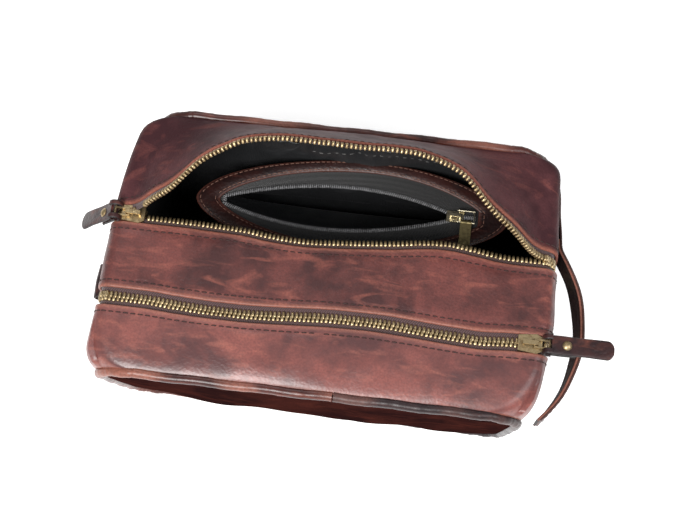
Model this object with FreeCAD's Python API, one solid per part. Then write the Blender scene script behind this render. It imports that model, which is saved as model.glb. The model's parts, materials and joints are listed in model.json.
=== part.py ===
"""Leather shaving kit bag with two zipped compartments, modelled piece by piece.

Frame: origin on the floor under the middle of the base, +X towards the end with the carrying handle,
-Y towards the front panel, +Z up. Millimetres. At rest the rear mouth stands open, with its slider at
the left end, and the front mouth is zipped shut, with its slider at the right end.
"""
import math
import os

import FreeCAD, Part
from FreeCAD import Matrix, Vector

# ---- driving dimensions -------------------------------------------------------------------------
HEIGHT = 130.0            # base to the flat top
END_X = 126.0             # outer face of each end, from the middle
PANEL_X = 121.5           # centre line of the piping at the sides, from the middle
SEAM_Y = 77.0             # plane of each piping seam at the top, from the middle
LEAN = 6.0                # how far the front and back lean in at the base
REAR_ZIP_Y = 12.0         # closing line of the rear zip
FRONT_ZIP_Y = -37.0       # closing line of the front zip
BAND_SEAM_Z = 75.0        # seam between the base gusset and the zipped band on both ends

LEATHER = 1.8             # hide thickness of the gussets
PANEL_THICK = 2.0
PIPING_R = 2.1
PIPING_CORE_R = 1.2
PIPING_CORNER_R = 20.0
PIPING_JOINT = 0.3        # gap where a length of piping meets the next
PIPING_SPLICE_X = 12.0    # where the front piping changes from one hide to another
TOP_CORNER_R = 8.0        # outer radius where the zipped band turns down the ends
BASE_CORNER_R = 18.0
BOARD_HALF_X = 106.0      # stiffening board in the base
BOARD_HALF_Y = 66.0
BOARD_THICK = 1.4
CLOTH = 0.8               # lining and zip tape thickness
GAP = 0.2                 # air between pieces that only touch in the real bag
GUSSET_Y = SEAM_Y - PIPING_R - GAP

GRIP_TAB_Y = -14.0        # folded tab in the left end's seam
GRIP_TAB_WIDTH = 20.0
GRIP_TAB_REACH = 13.0

# zips: the leather stops short of the closing line, and the tape carries on to the teeth
LEATHER_TO_ZIP = 8.0
TAPE_WIDTH = 13.0
TAPE_EDGE = 1.7           # closing line to the edge of the tape
TAPE_END_Z = 84.0         # how far down the ends the tapes and teeth reach
TOOTH_PITCH = 2.4
TOOTH_LENGTH = 0.9
TOOTH_NOSE = 0.9          # how far a tooth reaches past the closing line
TOOTH_HEEL = 3.5
TOOTH_HALF_HEIGHT = 1.3
TOOTH_CLEARANCE = 0.2     # between a tooth's legs and the tape
TAPE_TOP = HEIGHT - LEATHER - 0.05
TAPE_MID = TAPE_TOP - CLOTH / 2

STOP_LENGTH = 2.4         # crimped stop, along the zip
STOP_HEIGHT = 2.2

# the two moving lips of leather, hinged on the piping seams
LIP_X = 112.0             # half length of a moving lip
LIP_OPEN_DEG = 60.0       # how far the rear lip stands up at rest
LIP_HINGE_Y = SEAM_Y - 1.0
LIP_HINGE_Z = HEIGHT - LEATHER / 2
LIP_START = 2.5           # hinge line to the lip's own leather
LIP_RISE_X = 44.5 * 2.4   # where a lip starts to rise, between two teeth of the fixed row
LIP_STATIONS = 24

# sliders and pulls
SLIDER_X = 113.0          # middle of each slider at its end of the straight run
SLIDER_LENGTH = 13.0
SLIDER_NOSE_HALF = 5.4
SLIDER_TAIL_HALF = 4.3
SLIDER_PLATE = 1.3
PULL_LENGTH = 34.0
REAR_PULL_DROP_DEG = 48.0 # the rear pull hangs over the corner at rest
PULL_WIDTH = 9.5
PULL_THICK = 1.6
RIVET_R = 2.6

# carrying handle on the right end: a strap that lies flat at the back and bows out at the front
HANDLE_Z = 97.0
HANDLE_REACH = 20.0       # how far its outer face stands out from the end
HANDLE_FRONT_Y = -72.0
HANDLE_BACK_Y = 35.0
HANDLE_WIDTH = 15.0
HANDLE_THICK = 1.4        # each of its two layers
HANDLE_TWIST = 12.0       # length along Y at each end where the leather twists as the handle swings

# inner zip pocket on the rear wall
POCKET_TOP_Z = 101.0
POCKET_X = 7.0            # middle of the pocket, to the right of the bag's middle
POCKET_HALF_X = 92.0
POCKET_LEFT_Y = 38.0
POCKET_RIGHT_Y = 44.0
POCKET_FRONT_BOW = 20.0
POCKET_REAR_BOW = 21.0
POCKET_TRIM = 9.0
POCKET_BASE_Z = 48.0
POCKET_BASE_Y = 64.0
POCKET_SLIDER_X = 61.0    # from the pocket's middle
POCKET_TAB_DROP_DEG = 3.0
POUCH_DROP = 1.4          # frame to the top of the pouch

os.makedirs("parts", exist_ok=True)


# ---- small helpers ------------------------------------------------------------------------------
def save(name, *solids):
    """Write one node: one solid, or a group of separate solids."""
    shape = solids[0] if len(solids) == 1 else Part.makeCompound(list(solids))
    shape.exportStep(f"parts/{name}.step")
    bad = [s for s in shape.Solids if not s.isValid() or s.Volume <= 0]
    print(f"{name:28s} solids {len(shape.Solids):4d}  volume {shape.Volume:10.1f}  bad {len(bad)}")


def box(x0, x1, y0, y1, z0, z1):
    return Part.makeBox(x1 - x0, y1 - y0, z1 - z0, Vector(x0, y0, z0))


def prism(points, direction):
    """A straight prism on a closed polygon."""
    wire = Part.makePolygon(list(points) + [points[0]])
    return Part.Face(wire).extrude(direction)


def cylinder_y(radius, x, y0, y1, z):
    return Part.makeCylinder(radius, y1 - y0, Vector(x, y0, z), Vector(0, 1, 0))


def arc(centre, radius, start_deg, end_deg, y):
    """An arc in an XZ plane, from one angle to the other, measured from +X towards +Z."""
    def at(deg):
        a = math.radians(deg)
        return Vector(centre[0] + radius * math.cos(a), y, centre[1] + radius * math.sin(a))
    return Part.Arc(at(start_deg), at((start_deg + end_deg) / 2), at(end_deg)).toShape()


def line(a, b):
    return Part.LineSegment(a, b).toShape()


def bent_band(half_x, level, radius, thick, y0, y1, end_z, up=True, x_from=None, side=0):
    """A band of one thickness across the top (or the base), round both corners and along the ends.

    half_x and level are its outer faces. With x_from and side, only the length from x_from round
    the corner on that side is made.
    """
    turn = 1.0 if up else -1.0
    inner_x, inner_level, inner_r = half_x - thick, level - turn * thick, radius - thick
    corner_z = level - turn * radius
    solids = []
    for s in ((-1, 1) if side == 0 else (side,)):
        start = 0.0 if side == 0 else x_from
        flat_end = half_x - radius
        a0, a1 = (90, 0) if s > 0 else (90, 180)
        if not up:
            a0, a1 = -a0, -a1
        cx = s * flat_end
        outer = arc((cx, corner_z), radius, a0, a1, y0)
        inner = arc((cx, corner_z), inner_r, a1, a0, y0)
        edges = [
            line(Vector(s * start, y0, level), Vector(cx, y0, level)),
            outer,
            line(Vector(s * half_x, y0, corner_z), Vector(s * half_x, y0, end_z)),
            line(Vector(s * half_x, y0, end_z), Vector(s * inner_x, y0, end_z)),
            line(Vector(s * inner_x, y0, end_z), Vector(s * inner_x, y0, corner_z)),
            inner,
            line(Vector(cx, y0, inner_level), Vector(s * start, y0, inner_level)),
            line(Vector(s * start, y0, inner_level), Vector(s * start, y0, level)),
        ]
        face = Part.Face(Part.Wire(edges))
        solids.append(face.extrude(Vector(0, y1 - y0, 0)))
    band = solids[0] if len(solids) == 1 else solids[0].fuse(solids[1]).removeSplitter()
    return band.Solids[0] if len(band.Solids) == 1 else band


def rounded_outline(half_x, low, high, radius, y):
    """Closed rounded rectangle in an XZ plane, as edges in order from the top right, clockwise."""
    r = radius
    return [
        line(Vector(-half_x + r, y, high), Vector(half_x - r, y, high)),
        arc((half_x - r, high - r), r, 90, 0, y),
        line(Vector(half_x, y, high - r), Vector(half_x, y, low + r)),
        arc((half_x - r, low + r), r, 0, -90, y),
        line(Vector(half_x - r, y, low), Vector(-half_x + r, y, low)),
        arc((-half_x + r, low + r), r, -90, -180, y),
        line(Vector(-half_x, y, low + r), Vector(-half_x, y, high - r)),
        arc((-half_x + r, high - r), r, 180, 90, y),
    ]


# ---- the shape of a lip that opens --------------------------------------------------------------
def lip_share(x):
    """How far a lip is open at x, from 0 at its ends to 1 over its middle."""
    t = max(0.0, min(1.0, (LIP_RISE_X - abs(x)) / LIP_RISE_X))
    t = t * t / (t + 0.06) * 1.06
    return 1.0 - (1.0 - min(1.0, t)) ** 2.3


def lip_curve(x, radius, lift, open_deg, side):
    """A point of a lip at x: radius from its hinge line, lift above it when shut, opened by open_deg.

    side is 1 for the rear lip and -1 for the front one.
    """
    a = math.radians(open_deg) * lip_share(x)
    out = -radius * math.cos(a) + lift * math.sin(a)
    return Vector(x, side * (LIP_HINGE_Y + out), LIP_HINGE_Z + radius * math.sin(a) + lift * math.cos(a))


def lip_stations(half_x):
    """The x of each rib of a lip: its flat ends, then even steps over the part that rises."""
    ribs = [-LIP_RISE_X + 2 * LIP_RISE_X * i / LIP_STATIONS for i in range(LIP_STATIONS + 1)]
    return [-half_x] + ribs + [half_x]


def lip_point(x, radius, lift, open_deg, side):
    """The same point on the straight line between the two nearest ribs."""
    ribs = lip_stations(LIP_X)
    i = max(k for k in range(len(ribs) - 1) if ribs[k] <= x)
    share = (x - ribs[i]) / (ribs[i + 1] - ribs[i])
    a = lip_curve(ribs[i], radius, lift, open_deg, side)
    b = lip_curve(ribs[i + 1], radius, lift, open_deg, side)
    return a + (b - a) * share


def lip_sheet(r0, r1, low, high, open_deg, side, half_x):
    """A strip of the lip between two radii and two levels, as a ruled solid along X."""
    wires = []
    for x in (lip_stations(half_x) if open_deg else (-half_x, half_x)):
        corners = [lip_curve(x, r, h, open_deg, side)
                   for r, h in ((r0, low), (r1, low), (r1, high), (r0, high))]
        wires.append(Part.makePolygon(corners + [corners[0]]))
    return Part.makeLoft(wires, True, True)


# ---- zips ---------------------------------------------------------------------------------------
def tooth():
    """One tooth at the origin: X along the zip, +Y towards the closing line at y = 0, Z up.

    Two legs clamp the tape, and the head reaches past the closing line.
    """
    leg_in, slot = -TAPE_EDGE + TOOTH_CLEARANCE, CLOTH / 2 + TOOTH_CLEARANCE
    h = TOOTH_HALF_HEIGHT
    points = [(-TOOTH_HEEL, -h), (TOOTH_NOSE, -h), (TOOTH_NOSE, h), (-TOOTH_HEEL, h),
              (-TOOTH_HEEL, slot), (leg_in, slot), (leg_in, -slot), (-TOOTH_HEEL, -slot)]
    x = -TOOTH_LENGTH / 2
    return prism([Vector(x, y, z) for y, z in points], Vector(TOOTH_LENGTH, 0, 0))


TOOTH = tooth()


def placed_tooth(position, along, across):
    """A copy of the tooth at a position, X along the zip and Y across it."""
    along = Vector(along).normalize()
    up = along.cross(across).normalize()
    across = up.cross(along).normalize()
    m = Matrix(along.x, across.x, up.x, position.x, along.y, across.y, up.y, position.y,
               along.z, across.z, up.z, position.z, 0, 0, 0, 1)
    return TOOTH.transformGeometry(m) if m.determinant() < 0 else moved(TOOTH, m)


def moved(shape, matrix):
    copy = shape.copy()
    copy.Placement = FreeCAD.Placement(matrix)
    return copy


RUN_R = TOP_CORNER_R - (HEIGHT - TAPE_MID)          # radius of the tape's mid plane at the corners
RUN_FLAT = END_X - TOP_CORNER_R                     # half length of the flat run
RUN_SIDE_X = RUN_FLAT + RUN_R
RUN_DROP = (HEIGHT - TOP_CORNER_R) - TAPE_END_Z     # length down each end
RUN_QUARTER = RUN_R * math.pi / 2


def run_point(s):
    """A point and tangent on the tape's path at s, measured from the middle of the top towards +X."""
    side, d = (1 if s >= 0 else -1), abs(s)
    corner_z = HEIGHT - TOP_CORNER_R
    if d <= RUN_FLAT:
        x, z, tx, tz = d, TAPE_MID, 1.0, 0.0
    elif d <= RUN_FLAT + RUN_QUARTER:
        a = (d - RUN_FLAT) / RUN_R
        tx, tz = math.cos(a), -math.sin(a)
        x, z = RUN_FLAT - RUN_R * tz, corner_z + RUN_R * tx
    else:
        drop = d - RUN_FLAT - RUN_QUARTER
        x, z, tx, tz = RUN_SIDE_X, corner_z - drop, 0.0, -1.0
    return side * x, z, tx, side * tz


def teeth_on_run(y, towards, phase, keep):
    """Teeth along the fixed path. towards is +1 or -1, the way the noses point along Y."""
    reach = RUN_FLAT + RUN_QUARTER + RUN_DROP - 4.0
    solids = []
    for k in range(-int(reach / TOOTH_PITCH) - 1, int(reach / TOOTH_PITCH) + 2):
        s = (k + phase) * TOOTH_PITCH
        if abs(s) > reach or not keep(s):
            continue
        x, z, tx, tz = run_point(s)
        solids.append(placed_tooth(Vector(x, y, z), Vector(tx, 0, tz) * towards, Vector(0, towards, 0)))
    return solids


def even_places(curve, x0, x1, pitch):
    """Values of x that divide a curve into equal steps of about one pitch."""
    fine = [x0 + (x1 - x0) * i / 4000 for i in range(4001)]
    lengths = [0.0]
    for a, b in zip(fine, fine[1:]):
        lengths.append(lengths[-1] + curve(b).distanceToPoint(curve(a)))
    count = round(lengths[-1] / pitch)
    places, i = [], 0
    for k in range(count + 1):
        while i < 4000 and lengths[i] < lengths[-1] * k / count - 1e-9:
            i += 1
        places.append(fine[i])
    return places


def teeth_on_lip(open_deg, side, keep):
    """Teeth along a lip's edge: in step with the fixed row where it is low, and evenly spaced between."""
    radius = LIP_HINGE_Y - (REAR_ZIP_Y if side > 0 else -FRONT_ZIP_Y)
    lift = TAPE_MID - LIP_HINGE_Z

    def curve(x, out=0.0):
        return lip_point(x, radius + out, lift, open_deg, side)
    clear_x = LIP_RISE_X - 2 * TOOTH_PITCH
    # an open lip has no teeth where it starts to climb out of the fixed row
    ends = [LIP_RISE_X + k * TOOTH_PITCH for k in ((1, 2) if open_deg else (-1, 0, 1, 2))]
    places = [-x for x in ends[::-1]] + even_places(curve, -clear_x, clear_x, TOOTH_PITCH) + ends
    solids = []
    for x in places:
        if keep(x):
            along = (curve(x + 0.01) - curve(x - 0.01)) * (-side)
            solids.append(placed_tooth(curve(x), along, curve(x, 1.0) - curve(x)))
    return solids


def stop_block(s, y, half_y):
    """A crimped metal stop across the tape at s on the path."""
    x, z, tx, tz = run_point(s)
    corner = Vector(-STOP_LENGTH / 2, -half_y, CLOTH / 2 + 0.05)
    block = Part.makeBox(STOP_LENGTH, 2 * half_y, STOP_HEIGHT, corner)
    m = Matrix(tx, 0, -tz, x, 0, 1, 0, y, tz, 0, tx, z, 0, 0, 0, 1)
    return moved(block, m)


def slider_body(x, y, nose):
    """A metal slider on the flat run. nose is +1 or -1, the end where the two rows of teeth part.

    Two plates, four flanges that hold the tapes, a wedge that joins the plates at the nose, and a
    bridge on top for the pull.
    """
    half = SLIDER_LENGTH / 2
    outline = [(-half, -SLIDER_TAIL_HALF), (half - 3, -SLIDER_NOSE_HALF), (half, -SLIDER_NOSE_HALF + 1.6),
               (half, SLIDER_NOSE_HALF - 1.6), (half - 3, SLIDER_NOSE_HALF), (-half, SLIDER_TAIL_HALF)]
    top = TAPE_MID + TOOTH_HALF_HEIGHT + 0.25
    bottom = TAPE_MID - TOOTH_HALF_HEIGHT - 0.25
    points = [Vector(x + nose * u, y + v, 0) for u, v in outline]
    plate = prism(points, Vector(0, 0, SLIDER_PLATE))
    upper = plate.translated(Vector(0, 0, top))
    pieces = [plate.translated(Vector(0, 0, bottom - SLIDER_PLATE))]
    flange = TOOTH_HALF_HEIGHT + 0.25 - CLOTH / 2 - 0.2
    for v in (-1, 1):
        y0, y1 = sorted((y + v * (SLIDER_TAIL_HALF - 0.7), y + v * SLIDER_TAIL_HALF))
        pieces.append(box(x - half, x + half - 3, y0, y1, top - flange, top))
        pieces.append(box(x - half, x + half - 3, y0, y1, bottom, bottom + flange))
    wedge = [(half - 3.4, 0.0), (half - 1.6, -1.1), (half - 0.3, -0.7), (half - 0.3, 0.7), (half - 1.6, 1.1)]
    pieces.append(prism([Vector(x + nose * u, y + v, bottom) for u, v in wedge], Vector(0, 0, top - bottom)))
    bridge_top = top + SLIDER_PLATE + BRIDGE_HEIGHT
    bridge = box(x - 4.2, x + 4.2, y - 1.2, y + 1.2, top + SLIDER_PLATE, bridge_top)
    bridge = bridge.cut(box(x - 3.2, x + 3.2, y - 1.3, y + 1.3, top + SLIDER_PLATE, bridge_top - 0.8))
    pieces.append(bridge)
    body = upper.multiFuse(pieces)
    return body.removeSplitter()


BRIDGE_HEIGHT = 2.8
BAIL_R = 0.6
BAIL_REACH = 8.0
PIVOT_FROM_MIDDLE = 2.3
PIVOT_Z = TAPE_MID + TOOTH_HALF_HEIGHT + 0.25 + SLIDER_PLATE + 1.0


def bail(x, y, direction):
    """The wire link between a slider's bridge and its leather pull: two cross bars and two arms."""
    near, far, arm_y, arm = x, x + direction * BAIL_REACH, 2.1, 0.5
    pieces = [cylinder_y(BAIL_R, far, y - 3.9, y + 3.9, PIVOT_Z)]
    for s in (-1, 1):
        middle = y + s * arm_y
        pieces.append(box(min(near, far), max(near, far), middle - arm, middle + arm,
                          PIVOT_Z - arm, PIVOT_Z + arm))
    return cylinder_y(BAIL_R, near, y - arm_y - arm, y + arm_y + arm, PIVOT_Z).multiFuse(pieces)


def leather_pull(x, y, direction):
    """A strip folded round the link's cross bar and riveted to itself, with a rounded tip."""
    bar = x + direction * BAIL_REACH
    inner, outer = BAIL_R + 0.2, BAIL_R + 0.2 + PULL_THICK
    y0, y1 = y - PULL_WIDTH / 2, y + PULL_WIDTH / 2
    loop = cylinder_y(outer, bar, y0, y1, PIVOT_Z)
    tip = x + direction * (BAIL_REACH + PULL_LENGTH)
    under_end = bar + direction * 14.0
    over = box(min(bar, tip), max(bar, tip), y0, y1, PIVOT_Z + inner, PIVOT_Z + outer)
    ends = [e for e in over.Edges if abs(e.Vertexes[0].X - tip) < 0.01 and abs(e.Vertexes[1].X - tip) < 0.01
            and abs(e.Vertexes[0].Y - e.Vertexes[1].Y) < 0.01]
    over = over.makeFillet(3.2, ends)
    under = box(min(bar, under_end), max(bar, under_end), y0, y1, PIVOT_Z - outer, PIVOT_Z - inner)
    pull = loop.multiFuse([over, under])
    hollow = cylinder_y(inner, bar, y0 - 1, y1 + 1, PIVOT_Z)
    between = box(min(bar, under_end + direction), max(bar, under_end + direction), y0 - 1, y1 + 1,
                  PIVOT_Z - inner, PIVOT_Z + inner)
    notch_end = bar + direction * (BAIL_R + 0.4)
    notch_start = bar - direction * (outer + 1)
    notch = box(min(notch_start, notch_end), max(notch_start, notch_end), y - 3.0, y + 3.0,
                PIVOT_Z - outer - 1, PIVOT_Z + outer + 1)
    pull = pull.cut(hollow).cut(between).cut(notch)
    hole = Part.makeCylinder(RIVET_SHANK_R + 0.05, 12, Vector(rivet_x(x, direction), y, PIVOT_Z - 6))
    return pull.cut(hole).removeSplitter()


RIVET_SHANK_R = 1.1


def rivet_x(x, direction):
    return x + direction * (BAIL_REACH + 9.0)


def rivet(x, y, direction):
    """Domed cap, shank and flat back."""
    cx, outer = rivet_x(x, direction), BAIL_R + 0.2 + PULL_THICK
    height = 1.3
    ball_r = (RIVET_R ** 2 + height ** 2) / (2 * height)
    dome = Part.makeSphere(ball_r, Vector(cx, y, PIVOT_Z + outer + 0.02 + height - ball_r))
    dome = dome.common(Part.makeCylinder(RIVET_R, height + 1, Vector(cx, y, PIVOT_Z + outer + 0.02)))
    shank = Part.makeCylinder(RIVET_SHANK_R, 2 * outer + 0.04, Vector(cx, y, PIVOT_Z - outer - 0.02))
    back = Part.makeCylinder(RIVET_R - 0.3, 0.5, Vector(cx, y, PIVOT_Z - outer - 0.52))
    return dome.multiFuse([shank, back]).removeSplitter()


# ---- shell --------------------------------------------------------------------------------------
LEAN_DEG = math.degrees(math.atan(LEAN / HEIGHT))
SLANT = HEIGHT / math.cos(math.radians(LEAN_DEG))


def leaned(shape, side):
    """Swing an upright piece about the top of its seam plane so that it leans in at the base."""
    copy = shape.copy()
    copy.rotate(Vector(0, side * SEAM_Y, HEIGHT), Vector(1, 0, 0), -side * LEAN_DEG)
    return copy


def seam_y(z, inset=0.0):
    """Half depth at a height, along the leaning seam planes."""
    return SEAM_Y - LEAN * (HEIGHT - z) / HEIGHT - inset


def depth_prism(half_x, z0, z1, front, back):
    """A block whose front and back follow the leaning seams, each set in by its own inset."""
    def edge(inset, side, z):
        return side * seam_y(z, inset)
    points = [Vector(-half_x, edge(front, -1, z0), z0), Vector(-half_x, edge(back, 1, z0), z0),
              Vector(-half_x, edge(back, 1, z1), z1), Vector(-half_x, edge(front, -1, z1), z1)]
    return prism(points, Vector(2 * half_x, 0, 0))


SLANT_BASE = HEIGHT - SLANT   # the base line of an upright piece before it is leaned


def build_panels():
    inset = PIPING_R + 0.1
    low, high = SLANT_BASE + PIPING_R, HEIGHT - PIPING_R
    for name, side in (("front_panel", -1), ("back_panel", 1)):
        y = side * SEAM_Y - PANEL_THICK / 2
        face = Part.Face(Part.Wire(rounded_outline(PANEL_X - inset, low + inset, high - inset,
                                                   PIPING_CORNER_R - inset, y)))
        save(name, leaned(face.extrude(Vector(0, PANEL_THICK, 0)), side))


def piping(path, start, direction, radius, hollow=0.0):
    wire = Part.Wire(path)
    profile = Part.Wire(Part.makeCircle(radius, start, direction))
    tube = wire.makePipeShell([profile], True, True)
    if hollow:
        inner = wire.makePipeShell([Part.Wire(Part.makeCircle(hollow, start, direction))], True, True)
        tube = tube.cut(inner)
    return tube.Solids[0]


def build_piping():
    """Leather cover over a cord, all round each panel. The front cover is spliced near the middle."""
    low, high = SLANT_BASE + PIPING_R, HEIGHT - PIPING_R
    left, right = -PANEL_X + PIPING_CORNER_R, PANEL_X - PIPING_CORNER_R
    back_start = left + 1
    for name, side in (("back", 1), ("front", -1)):
        y = side * SEAM_Y
        edges = rounded_outline(PANEL_X, low, high, PIPING_CORNER_R, y)

        start, away = Vector(back_start - PIPING_JOINT, y, low), Vector(-1, 0, 0)
        whole = ([line(start, Vector(left, y, low))] + edges[5:8] + edges[:4]
                 + [line(Vector(right, y, low), Vector(back_start, y, low))])
        cover = (PIPING_R, PIPING_CORE_R + 0.05)
        if name == "back":
            save("back_piping", leaned(piping(whole, start, away, *cover), side))
        else:
            top, base = Vector(PIPING_SPLICE_X, y, high), Vector(PIPING_SPLICE_X, y, low)
            step = Vector(PIPING_JOINT, 0, 0)
            right_path = ([line(top, Vector(right, y, high))] + edges[1:4]
                          + [line(Vector(right, y, low), base)])
            left_path = ([line(base - step, Vector(left, y, low))] + edges[5:8]
                         + [line(Vector(left, y, high), top - step)])
            save("front_piping_right", leaned(piping(right_path, top, Vector(1, 0, 0), *cover), side))
            save("front_piping_left", leaned(piping(left_path, base - step, away, *cover), side))
        save(f"{name}_piping_cord", leaned(piping(whole, start, away, PIPING_CORE_R), side))


def build_gussets():
    within = depth_prism(END_X + 1, -1.0, HEIGHT + 1, PIPING_R + GAP, PIPING_R + GAP)
    base = bent_band(END_X, 0.0, BASE_CORNER_R, LEATHER, -GUSSET_Y, GUSSET_Y, BAND_SEAM_Z - 0.1, up=False)
    save("base_gusset", base.common(within))
    save("centre_band", bent_band(END_X, HEIGHT, TOP_CORNER_R, LEATHER, FRONT_ZIP_Y + LEATHER_TO_ZIP,
                                  REAR_ZIP_Y - LEATHER_TO_ZIP, BAND_SEAM_Z + 0.1))
    spans = {"rear": (REAR_ZIP_Y + LEATHER_TO_ZIP, GUSSET_Y),
             "front": (-GUSSET_Y, FRONT_ZIP_Y - LEATHER_TO_ZIP)}
    for name, (y0, y1) in spans.items():
        for end, side in (("left", -1), ("right", 1)):
            corner = bent_band(END_X, HEIGHT, TOP_CORNER_R, LEATHER, y0, y1, BAND_SEAM_Z + 0.1,
                               x_from=LIP_X + 0.3, side=side)
            save(f"{name}_corner_{end}", corner.common(within))
    save("base_board", box(-BOARD_HALF_X, BOARD_HALF_X, -BOARD_HALF_Y, BOARD_HALF_Y,
                           LEATHER + GAP, LEATHER + GAP + BOARD_THICK))
    save("grip_tab", grip_tab())


def grip_tab():
    """A folded leather tab caught in the left end's seam."""
    root_x, z = -END_X - 0.1, BAND_SEAM_Z + 3.0
    fold_r, leather = 2.2, 1.4
    fold_x = root_x - GRIP_TAB_REACH + fold_r
    front, back = GRIP_TAB_Y - GRIP_TAB_WIDTH / 2, GRIP_TAB_Y + GRIP_TAB_WIDTH / 2
    fold = cylinder_y(fold_r, fold_x, front, back, z)
    leaves = box(fold_x, root_x, front, back, z - fold_r, z + fold_r)
    eye = cylinder_y(fold_r - leather, fold_x, front - 1, back + 1, z)
    between = box(fold_x, root_x - 4.0, front - 1, back + 1, z - fold_r + leather, z + fold_r - leather)
    return fold.fuse(leaves).cut(eye).cut(between).removeSplitter()


# ---- lining -------------------------------------------------------------------------------------
LINING_X = END_X - (HEIGHT - TAPE_MID) - TOOTH_HALF_HEIGHT - 0.35
LINING_FLOOR = LEATHER + 1.8
LINING_TOP = HEIGHT - TOP_CORNER_R - 0.5
LINING_RELIEF_Z = 102.0   # the rear lining's left end stays below this behind the zip, to clear the pull
DIVIDER_TOP = HEIGHT - 4.0
DIVIDER_LOW = 22.0
DIVIDER_HALF_X = 118.0
DIVIDER_Y = -12.0
DIVIDER_THICK = 1.4


def tub(half_x, front, back, z0, z1, corner_r):
    """A thin-walled lining, open at the top, with rounded lower corners.

    front and back give each wall as a function of height.
    """
    def block(inset, top):
        points = [Vector(-half_x + inset, front(z0) + inset, z0 + inset),
                  Vector(-half_x + inset, back(z0) - inset, z0 + inset),
                  Vector(-half_x + inset, back(z1) - inset, top),
                  Vector(-half_x + inset, front(z1) + inset, top)]
        solid = prism(points, Vector(2 * (half_x - inset), 0, 0))
        low_ends = [e for e in solid.Edges if e.BoundBox.ZMax < z0 + inset + 0.01 and e.BoundBox.XLength < 0.01]
        return solid.makeFillet(corner_r - inset, low_ends)
    return block(0.0, z1).cut(block(CLOTH, z1 + 1))


def build_lining():
    """Two tubs of cloth with a board between them. The rear one's left end is cut low behind the zip."""
    cloth_r, half = 16.0, DIVIDER_THICK / 2
    rear = tub(LINING_X, lambda z: DIVIDER_Y + half + GAP, lambda z: seam_y(z, 2.8),
               LINING_FLOOR, LINING_TOP, cloth_r)
    relief = box(-LINING_X - 1, -LINING_X + CLOTH + 1, REAR_ZIP_Y - 6, REAR_ZIP_Y + 6,
                 LINING_RELIEF_Z, HEIGHT)
    save("rear_lining", rear.cut(relief))
    save("front_lining", tub(LINING_X, lambda z: -seam_y(z, 2.8), lambda z: DIVIDER_Y - half - GAP,
                             LINING_FLOOR, LINING_TOP, cloth_r))
    save("divider_board", box(-DIVIDER_HALF_X, DIVIDER_HALF_X, DIVIDER_Y - half, DIVIDER_Y + half,
                              DIVIDER_LOW, DIVIDER_TOP))


# ---- lips and zips ------------------------------------------------------------------------------
def build_lips():
    zip_radius = {"rear": LIP_HINGE_Y - REAR_ZIP_Y, "front": LIP_HINGE_Y + FRONT_ZIP_Y}
    half = LEATHER / 2
    for name, side, open_deg in (("rear", 1, LIP_OPEN_DEG), ("front", -1, 0.0)):
        edge = zip_radius[name] - LEATHER_TO_ZIP
        tape0, tape1 = zip_radius[name] - TAPE_WIDTH, zip_radius[name] - TAPE_EDGE
        tape_low, tape_high = TAPE_MID - CLOTH / 2 - LIP_HINGE_Z, TAPE_TOP - LIP_HINGE_Z
        save(f"{name}_strip", lip_sheet(LIP_START, edge, -half, half, open_deg, side, LIP_X))
        save(f"{name}_zip_tape_outer", lip_sheet(tape0, tape1, tape_low, tape_high, open_deg, side, LIP_X))
        save(f"{name}_strip_lining", lip_sheet(LIP_START + 1.5, edge, tape_low - 0.75, tape_low - 0.2,
                                               open_deg, side, LIP_X - 1))


def build_zips():
    inner_x, inner_r = END_X - LEATHER - 0.05, TOP_CORNER_R - LEATHER - 0.05
    # y direction in which the fixed row of each zip points, and the fixed tape's span
    for name, y, towards in (("rear", REAR_ZIP_Y, 1), ("front", FRONT_ZIP_Y, -1)):
        fixed = sorted((y - towards * TAPE_WIDTH, y - towards * TAPE_EDGE))
        moving = sorted((y + towards * TAPE_WIDTH, y + towards * TAPE_EDGE))
        save(f"{name}_zip_tape_inner", bent_band(inner_x, TAPE_TOP, inner_r, CLOTH, *fixed, TAPE_END_Z))
        ends = [bent_band(inner_x, TAPE_TOP, inner_r, CLOTH, *moving, TAPE_END_Z,
                          x_from=LIP_X + 0.3, side=s) for s in (-1, 1)]
        save(f"{name}_zip_tape_ends", *ends)
        nose_x = (-1 if name == "rear" else 1) * SLIDER_X + SLIDER_LENGTH / 2

        def clear_of_wedge(s, nose=nose_x):
            return not nose - 4.6 < s < nose + 1.0
        save(f"{name}_zip_teeth_inner", *teeth_on_run(y, towards, 0.0, clear_of_wedge))
        save(f"{name}_zip_teeth_ends", *teeth_on_run(
            y, -towards, 0.5, lambda s: abs(s) > LIP_X + 0.9 and clear_of_wedge(s)))
        side, open_deg = (1, LIP_OPEN_DEG) if name == "rear" else (-1, 0.0)
        save(f"{name}_zip_teeth_outer", *teeth_on_lip(open_deg, side, clear_of_wedge))
        end_s = RUN_FLAT + RUN_QUARTER + RUN_DROP - 2.0
        save(f"{name}_zip_stops", stop_block(-end_s, y, 3.6), stop_block(end_s, y - 2.4, 1.6),
             stop_block(end_s, y + 2.4, 1.6))


def build_sliders():
    """Both sliders with their nose towards the right end, where each zip shuts."""
    for name, y, side in (("rear", REAR_ZIP_Y, -1), ("front", FRONT_ZIP_Y, 1)):
        save(f"{name}_slider", slider_body(side * SLIDER_X, y, 1))
        pivot = side * (SLIDER_X + PIVOT_FROM_MIDDLE)
        save(f"{name}_pull_link", bail(pivot, y, side))
        bar = Vector(pivot + side * BAIL_REACH, y, PIVOT_Z)
        drop = REAR_PULL_DROP_DEG if name == "rear" else 0.0
        for part, shape in (("pull", leather_pull(pivot, y, side)), ("pull_rivet", rivet(pivot, y, side))):
            shape.rotate(bar, Vector(0, 1, 0), side * drop)
            save(f"{name}_{part}", shape)
        print(f"{name} link pivot x {pivot:.2f}, bar x {bar.x:.2f}, y {y:.2f}, z {PIVOT_Z:.3f}")


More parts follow.
